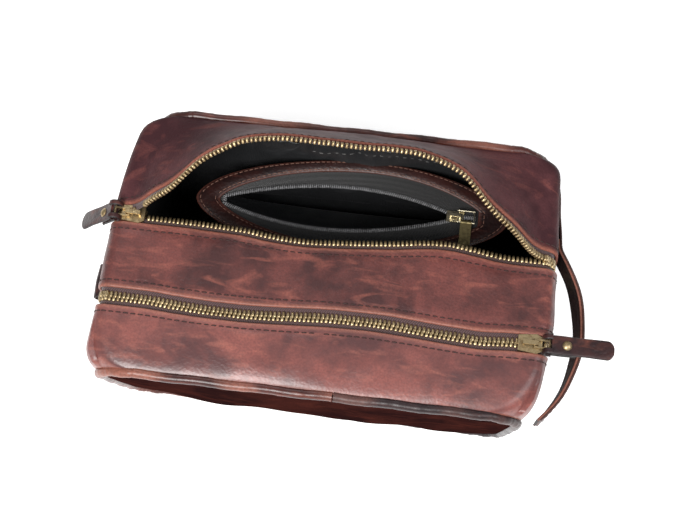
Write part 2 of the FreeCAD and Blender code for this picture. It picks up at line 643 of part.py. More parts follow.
# ---- handle -------------------------------------------------------------------------------------
HANDLE_MID_Y = (HANDLE_FRONT_Y + HANDLE_BACK_Y) / 2
HANDLE_HALF = (HANDLE_BACK_Y - HANDLE_FRONT_Y) / 2
HANDLE_R = (HANDLE_HALF ** 2 + HANDLE_REACH ** 2) / (2 * HANDLE_REACH)
HANDLE_CENTRE_X = END_X + HANDLE_REACH - HANDLE_R


def strap(y0, y1, depth0, depth1):
    """A stretch of the bowed strap between two depths under its outer face."""
    def edge(depth, ys):
        r = HANDLE_R - depth
        points = [Vector(HANDLE_CENTRE_X + math.sqrt(r * r - (y - HANDLE_MID_Y) ** 2), y, 0) for y in ys]
        return Part.Arc(*points).toShape()
    middle = (y0 + y1) / 2
    first, second = edge(depth1, (y0, middle, y1)), edge(depth0, (y1, middle, y0))
    wire = Part.Wire([first, line(first.Vertexes[-1].Point, second.Vertexes[0].Point), second,
                      line(second.Vertexes[-1].Point, first.Vertexes[0].Point)])
    solid = Part.Face(wire).extrude(Vector(0, 0, HANDLE_WIDTH))
    return solid.translated(Vector(0, 0, HANDLE_Z - HANDLE_WIDTH / 2))


def build_handle():
    front, back = HANDLE_FRONT_Y + HANDLE_TWIST, HANDLE_BACK_Y - HANDLE_TWIST
    save("handle_outer_layer", strap(front, back, 0.0, HANDLE_THICK))
    save("handle_inner_layer", strap(front, back, HANDLE_THICK, 2 * HANDLE_THICK))
    clear = box(END_X + 0.2, END_X + 60, -200, 200, 0, HEIGHT)
    save("handle_end_front", strap(HANDLE_FRONT_Y - 1, front - 0.3, 0.0, 2 * HANDLE_THICK).common(clear))
    save("handle_end_back", strap(back + 0.3, HANDLE_BACK_Y - 1.5, 0.0, 2 * HANDLE_THICK).common(clear))
    low, high = HANDLE_Z - HANDLE_WIDTH / 2, HANDLE_Z + HANDLE_WIDTH / 2
    save("handle_tab", box(END_X + GAP, END_X + GAP + 2 * HANDLE_THICK, HANDLE_BACK_Y - 1.2, GUSSET_Y - 2.0,
                           low, high))
    print(f"handle swings about x {END_X + 1.0}, z {HANDLE_Z}")


# ---- inner pocket -------------------------------------------------------------------------------
def pocket_mid(x):
    share = (x + POCKET_HALF_X) / (2 * POCKET_HALF_X)
    return POCKET_LEFT_Y + share * (POCKET_RIGHT_Y - POCKET_LEFT_Y)


def pocket_bow(x):
    """Share of the full bow at x: 0 at the closed ends, 1 in the middle."""
    t = min(1.0, abs(x) / POCKET_HALF_X)
    return max(0.0, 1.0 - t ** 2.2)


def pocket_loop(inset, level, half_x, points=14):
    """Lens-shaped closed polygon of the pocket's mouth, inset from its outer edge."""
    end_half = POCKET_TRIM - inset * 0.55
    front, rear = [], []
    for i in range(points + 1):
        x = -half_x + 2 * half_x * i / points
        bow = pocket_bow(x * POCKET_HALF_X / half_x)
        end = end_half * math.sqrt(max(0.04, 1 - (abs(x) / (half_x + 0.5)) ** 10))
        front.append(Vector(x, pocket_mid(x) - end - bow * (POCKET_FRONT_BOW - inset * 0.45), level))
        rear.append(Vector(x, pocket_mid(x) + end + bow * (POCKET_REAR_BOW - inset * 0.45), level))
    return front + rear[::-1]


def pocket_ring(outer, inner, low, high):
    return prism_between(outer, low, high).cut(prism_between(inner, low - 1, high + 1))


def prism_between(points, low, high):
    flat = [Vector(p.x, p.y, low) for p in points]
    return prism(flat, Vector(0, 0, high - low))


def hung_solid(top, narrow_x, narrow_y, low):
    """A block that tapers from the loop of the mouth to a narrow line at the foot of the rear wall."""
    base = [Vector(p.x * narrow_x, POCKET_BASE_Y + (p.y - pocket_mid(p.x)) * narrow_y, low) for p in top]
    upper = [Vector(p.x, p.y, POCKET_TOP_Z - POUCH_DROP) for p in top]
    return Part.makeLoft([Part.makePolygon(ring + [ring[0]]) for ring in (base, upper)], True, True)


def wall_halves(shell):
    """The pouch in two walls, front and rear, parted along the slanting middle plane of the pouch."""
    high, low = POCKET_TOP_Z + 5, POCKET_BASE_Z - 5
    slope = (POCKET_BASE_Y - POCKET_LEFT_Y) / (POCKET_TOP_Z - POUCH_DROP - POCKET_BASE_Z)
    half = POCKET_HALF_X + 10

    def middle(x, z):
        turn = (POCKET_RIGHT_Y - POCKET_LEFT_Y) / (2 * POCKET_HALF_X) * x
        share = min(1.0, max(0.0, (z - POCKET_BASE_Z) / (POCKET_TOP_Z - POUCH_DROP - POCKET_BASE_Z)))
        return pocket_mid(0) + turn * share + slope * (POCKET_TOP_Z - POUCH_DROP - z)
    walls = []
    for side in (-1, 1):
        rings = []
        for x in (-half, half):
            near = [Vector(x, middle(x, z) + side * GAP / 4, z) for z in (low, high)]
            far = [Vector(x, middle(0, z) + side * 90, z) for z in (high, low)]
            rings.append(Part.makePolygon(near + far + [near[0]]))
        walls.append(shell.common(Part.makeLoft(rings, True, True)))
    return walls


def build_pocket():
    z, shift = POCKET_TOP_Z, Vector(POCKET_X, 0, 0)
    outer = pocket_loop(0.0, z, POCKET_HALF_X)
    slot = pocket_loop(POCKET_TRIM, z, POCKET_HALF_X - 13)
    tape_edge = pocket_loop(POCKET_TRIM + 5.0, z, POCKET_HALF_X - 15)
    coil_edge = pocket_loop(POCKET_TRIM + 6.6, z, POCKET_HALF_X - 16)
    under = pocket_loop(1.0, z, POCKET_HALF_X - 1)
    save("pocket_trim", pocket_ring(outer, slot, z, z + 1.6).translated(shift))
    save("pocket_zip_tape", pocket_ring(under, tape_edge, z - 0.8, z - 0.1).translated(shift))
    save("pocket_zip_coil", pocket_ring(tape_edge, coil_edge, z - 1.1, z + 0.3).translated(shift))
    mouth = pocket_loop(1.5, z, POCKET_HALF_X - 2)
    mouth_in = pocket_loop(2.6, z, POCKET_HALF_X - 3)
    hollow = hung_solid(mouth_in, 0.93, 0.085, POCKET_BASE_Z + 1.0)
    cap = prism_between(mouth_in, z - POUCH_DROP, z + 2)
    shell = hung_solid(mouth, 0.94, 0.12, POCKET_BASE_Z).cut(hollow.fuse(cap))
    for name, wall in zip(("front", "rear"), wall_halves(shell)):
        save(f"pocket_pouch_{name}", wall.translated(shift))
    build_pocket_slider(POCKET_SLIDER_X, pocket_mid(POCKET_SLIDER_X), z)


def build_pocket_slider(x, y, z):
    """Slider with its nose to the left, a wire ring on its bridge, and a tab on the ring's front side."""
    x += POCKET_X
    top, bridge_top = z + 1.7, z + 4.9
    body = box(x - 5, x + 5, y - 3.4, y + 3.4, z + 0.5, top)
    lower = box(x - 5, x + 5, y - 3.4, y + 3.4, z - 2.6, z - 1.5)
    post = box(x - 4.6, x - 3.6, y - 0.8, y + 0.8, z - 1.6, z + 0.6)
    bridge = box(x - 3.2, x + 3.2, y - 0.9, y + 0.9, top, bridge_top)
    bridge = bridge.cut(box(x - 2.3, x + 2.3, y - 1, y + 1, top, bridge_top - 0.8))
    save("pocket_slider", body.multiFuse([lower, post, bridge]).removeSplitter())
    px, pz, wire_r, half, reach = x + 1.5, z + 3.1, 0.5, 3.6, 9.5
    arm = wire_r - 0.1
    bars = [box(bx - arm, bx + arm, y - half, y + half, pz - arm, pz + arm) for bx in (px, px + reach)]
    bars += [Part.makeCylinder(wire_r, reach + 2 * arm, Vector(px - arm, y + s * half, pz), Vector(1, 0, 0))
             for s in (-1, 1)]
    save("pocket_pull_ring", bars[0].multiFuse(bars[1:]))
    # the tab's eye closes round the ring's front side bar
    bar_y, tab_x, width, length = y - half, px + reach / 2 + 0.2, 6.6, 17.0
    left = Vector(tab_x - width / 2, bar_y, pz)
    eye = Part.makeCylinder(wire_r + 0.75, width, left, Vector(1, 0, 0))
    bore = Part.makeCylinder(wire_r + 0.12, width + 2, left - Vector(1, 0, 0), Vector(1, 0, 0))
    tab = box(tab_x - width / 2, tab_x + width / 2, bar_y - length, bar_y, pz - 0.5, pz + 0.5)
    tab = eye.fuse(tab).cut(bore).removeSplitter()
    tab.rotate(Vector(0, bar_y, pz), Vector(1, 0, 0), POCKET_TAB_DROP_DEG)
    save("pocket_pull_tab", tab)
    print(f"pocket ring pivot x {px:.2f}, y {y:.3f}, z {pz:.2f}; tab x {tab_x:.2f}, pivot y {bar_y:.3f}")


build_panels()
build_piping()
build_gussets()
build_lining()
build_lips()
build_zips()
build_sliders()
build_handle()
build_pocket()
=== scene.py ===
"""Leather shaving kit bag: the visual model, in metres, on the bag's own frame.

Origin on the floor under the middle of the base, +X towards the end with the carrying handle, -Y
towards the front panel, +Z up. At rest the rear mouth stands open and the front mouth is zipped.
Sizes in the classes are millimetres, and Piece turns them into metres when a mesh is made.
"""
from __future__ import annotations

import json
import logging
import math
from dataclasses import dataclass, field
from enum import Enum
from typing import Callable, Optional, Sequence, Union

import bmesh
import bpy
import numpy as np
from mathutils import Matrix, Vector

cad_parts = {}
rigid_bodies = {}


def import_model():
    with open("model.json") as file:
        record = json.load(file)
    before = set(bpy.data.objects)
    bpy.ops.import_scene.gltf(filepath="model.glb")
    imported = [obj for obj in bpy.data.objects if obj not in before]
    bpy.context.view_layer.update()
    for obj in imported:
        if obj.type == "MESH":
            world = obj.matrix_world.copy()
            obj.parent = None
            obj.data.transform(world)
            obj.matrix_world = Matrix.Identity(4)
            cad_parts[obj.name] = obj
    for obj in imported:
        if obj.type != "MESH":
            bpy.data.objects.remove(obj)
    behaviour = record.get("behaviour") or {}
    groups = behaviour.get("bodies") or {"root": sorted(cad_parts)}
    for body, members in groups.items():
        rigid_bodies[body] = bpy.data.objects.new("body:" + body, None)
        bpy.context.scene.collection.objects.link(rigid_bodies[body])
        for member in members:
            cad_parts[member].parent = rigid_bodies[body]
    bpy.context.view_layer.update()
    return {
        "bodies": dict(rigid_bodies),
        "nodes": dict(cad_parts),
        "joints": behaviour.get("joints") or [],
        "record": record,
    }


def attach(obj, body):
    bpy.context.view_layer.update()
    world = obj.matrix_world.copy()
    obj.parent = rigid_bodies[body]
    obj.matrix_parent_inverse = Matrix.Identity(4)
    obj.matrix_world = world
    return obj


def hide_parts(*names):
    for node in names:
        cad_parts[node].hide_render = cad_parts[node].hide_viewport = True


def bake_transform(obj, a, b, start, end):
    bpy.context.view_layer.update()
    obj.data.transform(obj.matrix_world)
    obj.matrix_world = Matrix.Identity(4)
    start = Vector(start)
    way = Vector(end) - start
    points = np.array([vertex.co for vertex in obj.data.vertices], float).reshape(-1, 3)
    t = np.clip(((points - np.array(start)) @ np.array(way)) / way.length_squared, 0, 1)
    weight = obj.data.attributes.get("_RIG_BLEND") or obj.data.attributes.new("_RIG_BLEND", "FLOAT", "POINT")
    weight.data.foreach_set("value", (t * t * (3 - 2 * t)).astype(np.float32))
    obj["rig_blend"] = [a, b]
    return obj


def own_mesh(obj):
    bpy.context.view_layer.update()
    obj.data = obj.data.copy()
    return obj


LOG = logging.getLogger("kit bag")
MM = 0.001
Grid = np.ndarray
Number = Union[float, "Thread"]
Colour = tuple[float, float, float]


# ---- shader wiring ------------------------------------------------------------------------------
class Thread:
    """A shader socket that takes part in Python arithmetic."""

    def __init__(self, bench: "Bench", socket: bpy.types.NodeSocket) -> None:
        """Keep the socket and the bench it belongs to."""
        self.bench, self.socket = bench, socket

    def __add__(self, other: Number) -> "Thread":
        """self + other."""
        return self.bench.maths("ADD", self, other)

    __radd__ = __add__

    def __sub__(self, other: Number) -> "Thread":
        """self - other."""
        return self.bench.maths("SUBTRACT", self, other)

    def __rsub__(self, other: Number) -> "Thread":
        """other - self."""
        return self.bench.maths("SUBTRACT", other, self)

    def __mul__(self, other: Number) -> "Thread":
        """self * other."""
        return self.bench.maths("MULTIPLY", self, other)

    __rmul__ = __mul__

    def __truediv__(self, other: Number) -> "Thread":
        """self / other."""
        return self.bench.maths("DIVIDE", self, other)

    def __rtruediv__(self, other: Number) -> "Thread":
        """other / self."""
        return self.bench.maths("DIVIDE", other, self)

    def clamped(self) -> "Thread":
        """self held between 0 and 1."""
        return self.bench.maths("MINIMUM", self.bench.maths("MAXIMUM", self, 0.0), 1.0)

    def between(self, low: float, high: float) -> "Thread":
        """self rescaled so that low becomes 0 and high becomes 1, and held there."""
        return ((self - low) / (high - low)).clamped()


class Bench:
    """One material under construction."""

    def __init__(self, name: str) -> None:
        """Start a node material with an empty tree."""
        self.material = bpy.data.materials.new(name)
        self.material.use_nodes = True
        self.tree = self.material.node_tree
        self.tree.nodes.clear()

    def node(self, kind: str, settings: Optional[dict] = None,
             inputs: Optional[dict] = None) -> bpy.types.Node:
        """Add any node.

        Args:
            kind: the node's Blender type.
            settings: its own properties, set first.
            inputs: values or Threads by socket name or number.

        Returns:
            The node.
        """
        made = self.tree.nodes.new(kind)
        for key, value in (settings or {}).items():
            setattr(made, key, value)
        for key, value in (inputs or {}).items():
            socket = made.inputs[key]
            if isinstance(value, Thread):
                self.tree.links.new(value.socket, socket)
            else:
                socket.default_value = value
        return made

    def maths(self, operation: str, *values: Number) -> Thread:
        """A Math node on up to three numbers or Threads."""
        made = self.node("ShaderNodeMath", {"operation": operation}, dict(enumerate(values)))
        return Thread(self, made.outputs[0])

    def mix(self, share: Number, first: object, second: object) -> Thread:
        """A blend of two colours.

        Args:
            share: 0 gives the first, 1 the second.
            first: a colour or a Thread.
            second: a colour or a Thread.

        Returns:
            The blended colour.
        """
        made = self.node("ShaderNodeMix", {"data_type": "RGBA", "clamp_factor": True},
                         {0: share, 6: rgba(first), 7: rgba(second)})
        return Thread(self, made.outputs[2])

    def place(self) -> Thread:
        """Object coordinates."""
        return Thread(self, self.node("ShaderNodeTexCoord").outputs["Object"])

    def read(self, name: str, vector: bool = False) -> Thread:
        """An attribute of the mesh, as a number or as a vector."""
        made = self.node("ShaderNodeAttribute", {"attribute_name": name, "attribute_type": "GEOMETRY"})
        return Thread(self, made.outputs["Vector" if vector else "Fac"])

    def stretched(self, place: Thread, scale: Sequence[float], turn: Sequence[float] = (0, 0, 0)) -> Thread:
        """Coordinates turned and scaled by a Mapping node."""
        made = self.node("ShaderNodeMapping", None, {"Vector": place, "Scale": scale, "Rotation": turn})
        return Thread(self, made.outputs[0])

    def noise(self, place: Thread, scale: float, detail: float = 4.0, twist: float = 0.0) -> Thread:
        """A noise value from 0 to 1."""
        made = self.node("ShaderNodeTexNoise", None,
                         {"Vector": place, "Scale": scale, "Detail": detail, "Distortion": twist})
        return Thread(self, made.outputs[0])

    def pebble(self, place: Thread, scale: float) -> Thread:
        """Distance to the edge of round cells, for hide grain."""
        made = self.node("ShaderNodeTexVoronoi", {"feature": "SMOOTH_F1"},
                         {"Vector": place, "Scale": scale, "Smoothness": 0.6})
        return Thread(self, made.outputs["Distance"])

    def split(self, vector: Thread) -> tuple[Thread, Thread, Thread]:
        """The three numbers of a vector."""
        made = self.node("ShaderNodeSeparateXYZ", None, {0: vector})
        return tuple(Thread(self, made.outputs[i]) for i in range(3))

    def bump(self, height: Thread, depth: float) -> Thread:
        """A bumped normal, in metres of depth."""
        made = self.node("ShaderNodeBump", None, {"Height": height, "Distance": depth, "Strength": 1.0})
        return Thread(self, made.outputs[0])

    def finish(self, **inputs: object) -> bpy.types.Material:
        """Close the material with a Principled shader.

        Args:
            inputs: the shader's sockets, with _ for a space.

        Returns:
            The material.
        """
        named = {key.replace("_", " "): value for key, value in inputs.items()}
        shader = self.node("ShaderNodeBsdfPrincipled", None, named)
        output = self.node("ShaderNodeOutputMaterial")
        self.tree.links.new(shader.outputs[0], output.inputs[0])
        return self.material


def rgba(colour: object) -> object:
    """A colour with its alpha, or the Thread unchanged."""
    return colour if isinstance(colour, Thread) else (*colour, 1.0)[:4]


# ---- finishes -----------------------------------------------------------------------------------
@dataclass(frozen=True)
class Hide:
    """Oiled pull-up leather: dark patches, rubbed streaks, fine grain and worn or painted edges."""

    name: str
    deep: Colour
    middle: Colour
    rubbed: Colour
    roughness: float = 0.42
    patches: float = 0.5
    streaks: float = 0.45
    edge: Colour = (0.30, 0.11, 0.075)
    painted: float = 0.0
    grain: float = 0.00022
    coat: float = 0.06
    gloss: float = 0.36
    paint: Colour = (0.012, 0.009, 0.009)

    def make(self) -> bpy.types.Material:
        """Build the material."""
        b = Bench(self.name)
        place = b.place()
        cloud = b.noise(place, 26.0, 5.0, 0.6)
        fine = b.noise(place, 130.0, 5.0, 0.3)
        patch = (cloud * 0.75 + fine * 0.25).between(0.38 + 0.06 * self.patches, 0.60)
        streak = b.noise(b.stretched(place, (1.0, 3.2, 2.4), (0.3, 0.2, 0.5)), 42.0, 6.0, 1.2)
        rub = streak.between(0.53, 0.74) * self.streaks
        colour = b.mix(patch, self.middle, self.deep)
        colour = b.mix(rub, colour, self.rubbed)
        mark = (b.read("wear") * (0.55 + fine * 0.9)).clamped()
        colour = b.mix(mark * (1.0 - self.painted) * 0.75, colour, self.edge)
        pore = b.noise(place, 900.0, 3.0)
        colour = b.mix(pore.between(0.60, 0.36) * 0.35, colour, self.deep)
        if self.painted:
            colour = b.mix((b.read("edge") * self.painted).between(0.35, 0.75), colour, self.paint)
        cells = b.pebble(place, 620.0)
        crease = b.noise(b.stretched(place, (1.0, 1.8, 1.4), (0.0, 0.4, 0.9)), 210.0, 5.0, 0.8)
        height = cells * 0.6 + pore * 0.25 + crease
        rough = (self.roughness - 0.10) + fine * 0.16 + mark * 0.10 + rub * 0.06
        return b.finish(Base_Color=colour, Roughness=rough, Coat_Weight=self.coat, Coat_Roughness=0.3,
                        Specular_IOR_Level=self.gloss, Normal=b.bump(height, self.grain))


@dataclass(frozen=True)
class Woven:
    """Zip tape: a herringbone of fine ribs that follows the tape."""

    name: str
    light: Colour
    dark: Colour
    rib: float = 0.0011
    chevron: float = 0.0038
    warp: float = 0.0005
    roughness: float = 0.8
    relief: float = 0.00018

    def make(self) -> bpy.types.Material:
        """Build the material."""
        b = Bench(self.name)
        along, across, _ = b.split(b.read("lay", vector=True))
        zig = b.maths("PINGPONG", across, self.chevron / 2)
        wave = b.maths("SINE", (along + zig) * (2 * math.pi / self.rib)) * 0.5 + 0.5
        thread = b.maths("SINE", across * (2 * math.pi / self.warp)) * 0.5 + 0.5
        fuzz = b.noise(b.place(), 500.0, 4.0)
        colour = b.mix(wave * 0.75 + fuzz * 0.25, self.dark, self.light)
        return b.finish(Base_Color=colour, Roughness=self.roughness, Sheen_Weight=0.25, Sheen_Roughness=0.5,
                        Normal=b.bump(wave * 0.8 + thread * 0.2 + fuzz * 0.3, self.relief))


@dataclass(frozen=True)
class Satin:
    """Lining cloth with a soft sheen and a fine weave; its colour is lighter on the crests of the bumped
    folds and darker in their hollows, which is painted sheen and shade.
    """

    name: str
    colour: Colour
    roughness: float = 0.33
    sheen: float = 0.06

    def make(self) -> bpy.types.Material:
        """Build the material."""
        b = Bench(self.name)
        place = b.place()
        weft = b.noise(b.stretched(place, (1.0, 1.0, 0.08)), 1500.0, 2.0)
        fold = b.noise(b.stretched(place, (1.0, 1.0, 0.45)), 60.0, 4.0, 0.5)
        # The colour follows the fold noise that also drives the bump: lighter on the fold crests and darker
        # in the hollows is painted sheen and shade, and the weft part is the weave's own tone.
        low, high = (tuple(part * c for c in self.colour) for part in (0.6, 1.7))
        colour = b.mix(fold * 0.6 + weft * 0.4, low, high)
        return b.finish(Base_Color=colour, Roughness=self.roughness + fold * 0.12, Sheen_Weight=self.sheen,
                        Sheen_Roughness=0.4, Sheen_Tint=(0.75, 0.76, 0.8, 1.0),
                        Normal=b.bump(weft * 0.25 + fold, 0.0007))


@dataclass(frozen=True)
class Metal:
    """Cast or drawn metal, bright, with darker patches of tarnish spread by noise."""

    name: str
    bright: Colour
    tarnish: Colour
    roughness: float = 0.3
    age: float = 0.5

    def make(self) -> bpy.types.Material:
        """Build the material."""
        b = Bench(self.name)
        place = b.place()
        stain = b.noise(place, 420.0, 5.0, 0.5)
        scratch = b.noise(b.stretched(place, (1.0, 9.0, 4.0)), 700.0, 3.0)
        share = stain.between(0.62, 0.36) * self.age
        colour = b.mix(share, self.bright, self.tarnish)
        rough = self.roughness + share * 0.25 + scratch * 0.12
        return b.finish(Base_Color=colour, Metallic=1.0, Roughness=rough,
                        Normal=b.bump(scratch * 0.4 + stain * 0.6, 0.00003))


@dataclass(frozen=True)
class Plain:
    """Thread, cord, board or nylon: a matt colour with a fine twist or grain."""

    name: str
    light: Colour
    dark: Colour
    scale: float = 1200.0
    roughness: float = 0.7

    def make(self) -> bpy.types.Material:
        """Build the material."""
        b = Bench(self.name)
        grain = b.noise(b.place(), self.scale, 3.0, 0.4)
        colour = b.mix(grain.between(0.3, 0.7), self.dark, self.light)
        return b.finish(Base_Color=colour, Roughness=self.roughness, Normal=b.bump(grain, 0.00008))


class Stuff(Enum):
    """Every finish on the bag, by what it covers."""

    BAND = Hide("band hide", (0.050, 0.017, 0.017), (0.150, 0.044, 0.038), (0.33, 0.100, 0.072),
                roughness=0.42, patches=0.55, streaks=0.55)
    # The front lip uses the band's hide made lighter: its own tone plus painted sheen from the front light.
    STRIP = Hide("front lip hide lightened as painted sheen", (0.075, 0.027, 0.027), (0.205, 0.064, 0.054), (0.40, 0.130, 0.092),
                 roughness=0.38, patches=0.35, streaks=0.5, coat=0.12, gloss=0.5, grain=0.00011)
    # The rear lip uses the band's hide made darker: its own tone plus painted shade, since the open lip leans
    # back from the lights.
    REAR_STRIP = Hide("rear lip hide darkened as painted shade", (0.045, 0.018, 0.021), (0.100, 0.037, 0.040), (0.22, 0.070, 0.058),
                      roughness=0.50, patches=0.4, streaks=0.4, coat=0.0, gloss=0.03)
    PANEL = Hide("panel hide", (0.014, 0.005, 0.005), (0.036, 0.010, 0.008), (0.085, 0.022, 0.014),
                 roughness=0.5, patches=0.4, streaks=0.4, coat=0.0, gloss=0.0, grain=0.00012)
    GUSSET = Hide("gusset hide", (0.020, 0.007, 0.008), (0.080, 0.023, 0.018), (0.18, 0.052, 0.034),
                  roughness=0.5, coat=0.0, gloss=0.12)
    PIPING = Hide("red piping hide", (0.030, 0.008, 0.007), (0.085, 0.021, 0.016), (0.26, 0.070, 0.042),
                  roughness=0.34, patches=0.3, streaks=0.75, grain=0.00008, coat=0.15)
    PIPING_DARK = Hide("charcoal piping hide", (0.008, 0.005, 0.006), (0.024, 0.013, 0.014),
                       (0.10, 0.036, 0.030), roughness=0.38, edge=(0.12, 0.05, 0.04), streaks=0.5,
                       grain=0.00008)
    TRIM = Hide("pull hide", (0.016, 0.006, 0.007), (0.066, 0.020, 0.018), (0.20, 0.058, 0.036),
                roughness=0.40, streaks=0.5, painted=1.0)
    STRAP = Hide("strap hide", (0.020, 0.007, 0.007), (0.085, 0.023, 0.019), (0.24, 0.070, 0.044),
                 roughness=0.40, streaks=0.6, painted=0.6)
    STRAP_BACK = Hide("strap flesh side", (0.006, 0.004, 0.004), (0.018, 0.010, 0.009),
                      (0.04, 0.02, 0.016), roughness=0.6)
    FRAME = Hide("pocket hide", (0.010, 0.004, 0.004), (0.036, 0.010, 0.008), (0.10, 0.028, 0.019),
                 roughness=0.4, streaks=0.4, edge=(0.10, 0.032, 0.022))
    LINING = Satin("black satin with painted fold sheen", (0.014, 0.0145, 0.0155))
    TAPE = Woven("zip tape", (0.115, 0.060, 0.060), (0.020, 0.010, 0.011), rib=0.0013)
    NYLON_TAPE = Woven("black tape", (0.011, 0.011, 0.012), (0.003, 0.003, 0.003), rib=0.0009)
    # The pale grey in the coil stands for highlights on the turns of the black coil: painted highlight.
    COIL = Plain("nylon coil with painted glints", (0.30, 0.30, 0.31), (0.05, 0.05, 0.052), 900.0, 0.38)
    BRASS = Metal("antique brass", (0.54, 0.42, 0.24), (0.15, 0.10, 0.050), 0.28, 0.75)
    OLIVE = Metal("olive brass", (0.34, 0.28, 0.14), (0.10, 0.08, 0.04), 0.38, 0.8)
    PALE = Metal("pale brass", (0.86, 0.78, 0.58), (0.42, 0.36, 0.22), 0.22, 0.35)
    # The thread is made darker than the reddish thread itself: painted shade of the stitch holes, on top of
    # the thread's own colour.
    THREAD = Plain("brown thread", (0.050, 0.016, 0.013), (0.016, 0.006, 0.005))
    POCKET_THREAD = Plain("light brown thread", (0.24, 0.12, 0.085), (0.10, 0.045, 0.032))
    PALE_THREAD = Plain("grey thread", (0.16, 0.155, 0.15), (0.06, 0.06, 0.06))
    CORD = Plain("filler cord", (0.55, 0.52, 0.47), (0.38, 0.36, 0.32), 600.0)
    BOARD = Plain("grey board", (0.26, 0.22, 0.18), (0.18, 0.15, 0.12), 300.0, 0.85)

    def material(self) -> bpy.types.Material:
        """The finish's material, built on first use."""
        found = bpy.data.materials.get(self.value.name)
        return found or self.value.make()


# ---- meshes -------------------------------------------------------------------------------------
@dataclass
class Piece:
    """One finished piece of the bag, gathered from point grids in millimetres."""

    name: str
    stuff: Stuff
    points: list[Grid] = field(default_factory=list)
    faces: list[tuple[int, ...]] = field(default_factory=list)
    lay: list[Grid] = field(default_factory=list)
    wear: list[Grid] = field(default_factory=list)
    edge: list[Grid] = field(default_factory=list)
    count: int = 0
    fold_deg: float = 62.0

    def add(self, points: Grid, faces: list[tuple[int, ...]], lay: Optional[Grid] = None,
            wear: Optional[Grid] = None, edge: Optional[Grid] = None) -> None:
        """Add loose points and faces.

        Args:
            points: n x 3 positions.
            faces: corner numbers into points.
            lay: n x 3 coordinates along and across the piece.
            wear: n values, 1 where the surface is rubbed.
            edge: n values, 1 on a cut edge.
        """
        n = len(points)
        self.points.append(points)
        self.faces += [tuple(i + self.count for i in face) for face in faces]
        self.lay.append(np.zeros((n, 3)) if lay is None else lay)
        self.wear.append(np.zeros(n) if wear is None else wear)
        self.edge.append(np.zeros(n) if edge is None else edge)
        self.count += n

    def slab(self, outer: Grid, thick: float, closed: bool = False, flip: bool = False,
             rub: float = 1.6) -> None:
        """Add a closed sheet with rounded edges under a grid of surface points.

        Args:
            outer: rows x columns x 3 points of the outer face, rows along the piece.
            thick: thickness, laid down against the face's normal.
            closed: whether the last row joins the first.
            flip: turn the normal over.
            rub: width of the worn band along the edges.
        """
        rows, cols = outer.shape[:2]
        normal = normals(outer, closed) * (-1.0 if flip else 1.0)
        mid = outer - normal * thick / 2
        left, right = unit(mid[:, 0] - mid[:, 1]), unit(mid[:, -1] - mid[:, -2])
        bend = [math.radians(a) for a in (40, 90, 140)]
        first = [mid[:, 0] + (normal[:, 0] * math.cos(a) + left * math.sin(a)) * thick / 2 for a in bend]
        last = [mid[:, -1] + (normal[:, -1] * math.cos(a) + right * math.sin(a)) * thick / 2 for a in bend]
        ring = np.concatenate([outer, np.stack(last, 1), (mid - normal * thick / 2)[:, ::-1],
                               np.stack(first[::-1], 1)], axis=1)
        size = ring.shape[1]
        faces = []
        for i in range(rows if closed else rows - 1):
            a, c = i * size, ((i + 1) % rows) * size
            faces += [(a + j, a + (j + 1) % size, c + (j + 1) % size, c + j) for j in range(size)]
        if not closed:
            for i in (0, rows - 1):
                a = i * size
                inner = [a + 2 * cols + 2 - j for j in range(cols)]
                faces += [(a + j, a + j + 1, inner[j + 1], inner[j]) for j in range(cols - 1)]
                faces.append((a + cols - 1, a + cols, a + cols + 1, a + cols + 2, inner[-1]))
                faces.append((inner[0], a + size - 3, a + size - 2, a + size - 1, a))
        run, width = lengths(mid, 0), lengths(mid, 1)
        span = width[:, -1:]
        near = np.minimum(width, span - width)
        wear = np.exp(-(near / rub) ** 2)
        ones, zeros = np.ones((rows, 3)), np.zeros((rows, cols))
        lay = np.zeros((rows, size, 3))
        spread = np.concatenate([width, np.repeat(span, 3, 1), width[:, ::-1], np.zeros((rows, 3))], axis=1)
        lay[:, :, 1] = spread * MM
        lay[:, :, 0] = np.concatenate([run, np.repeat(run[:, -1:], 3, 1), run[:, ::-1],
                                       np.repeat(run[:, :1], 3, 1)], axis=1) * MM
        self.add(ring.reshape(-1, 3), faces, lay.reshape(-1, 3),
                 np.concatenate([wear, ones, zeros, ones], axis=1).ravel(),
                 np.concatenate([zeros, ones, zeros, ones], axis=1).ravel())

    def tube(self, path: Grid, radius: Union[float, Grid], sides: int = 14) -> None:
        """Add a capped round tube on a path."""
        n = len(path)
        tangent = unit(np.gradient(path, axis=0))
        side = unit(np.cross(tangent, np.array([0.0, 1.0, 0.05])))
        up = unit(np.cross(side, tangent))
        turn = np.linspace(0, 2 * math.pi, sides, endpoint=False)
        r = np.broadcast_to(radius, (n,))[:, None, None]
        c, s = np.cos(turn)[None, :, None], np.sin(turn)[None, :, None]
        ring = path[:, None] + r * (side[:, None] * c + up[:, None] * s)
        lay = np.zeros((n, sides, 3))
        lay[:, :, 0] = run_along(path)[:, None] * MM
        lay[:, :, 1] = turn[None, :] * (np.mean(radius) * MM)
        self.add(ring.reshape(-1, 3), prism(n, sides), lay.reshape(-1, 3))

    def turned(self, centre: Sequence[float], axis: Sequence[float], degrees: float) -> "Piece":
        """Turn everything gathered so far about an axis through a point."""
        turn = np.array(Matrix.Rotation(math.radians(degrees), 3, Vector(axis)))
        self.points = [(p - np.array(centre)) @ turn.T + np.array(centre) for p in self.points]
        return self

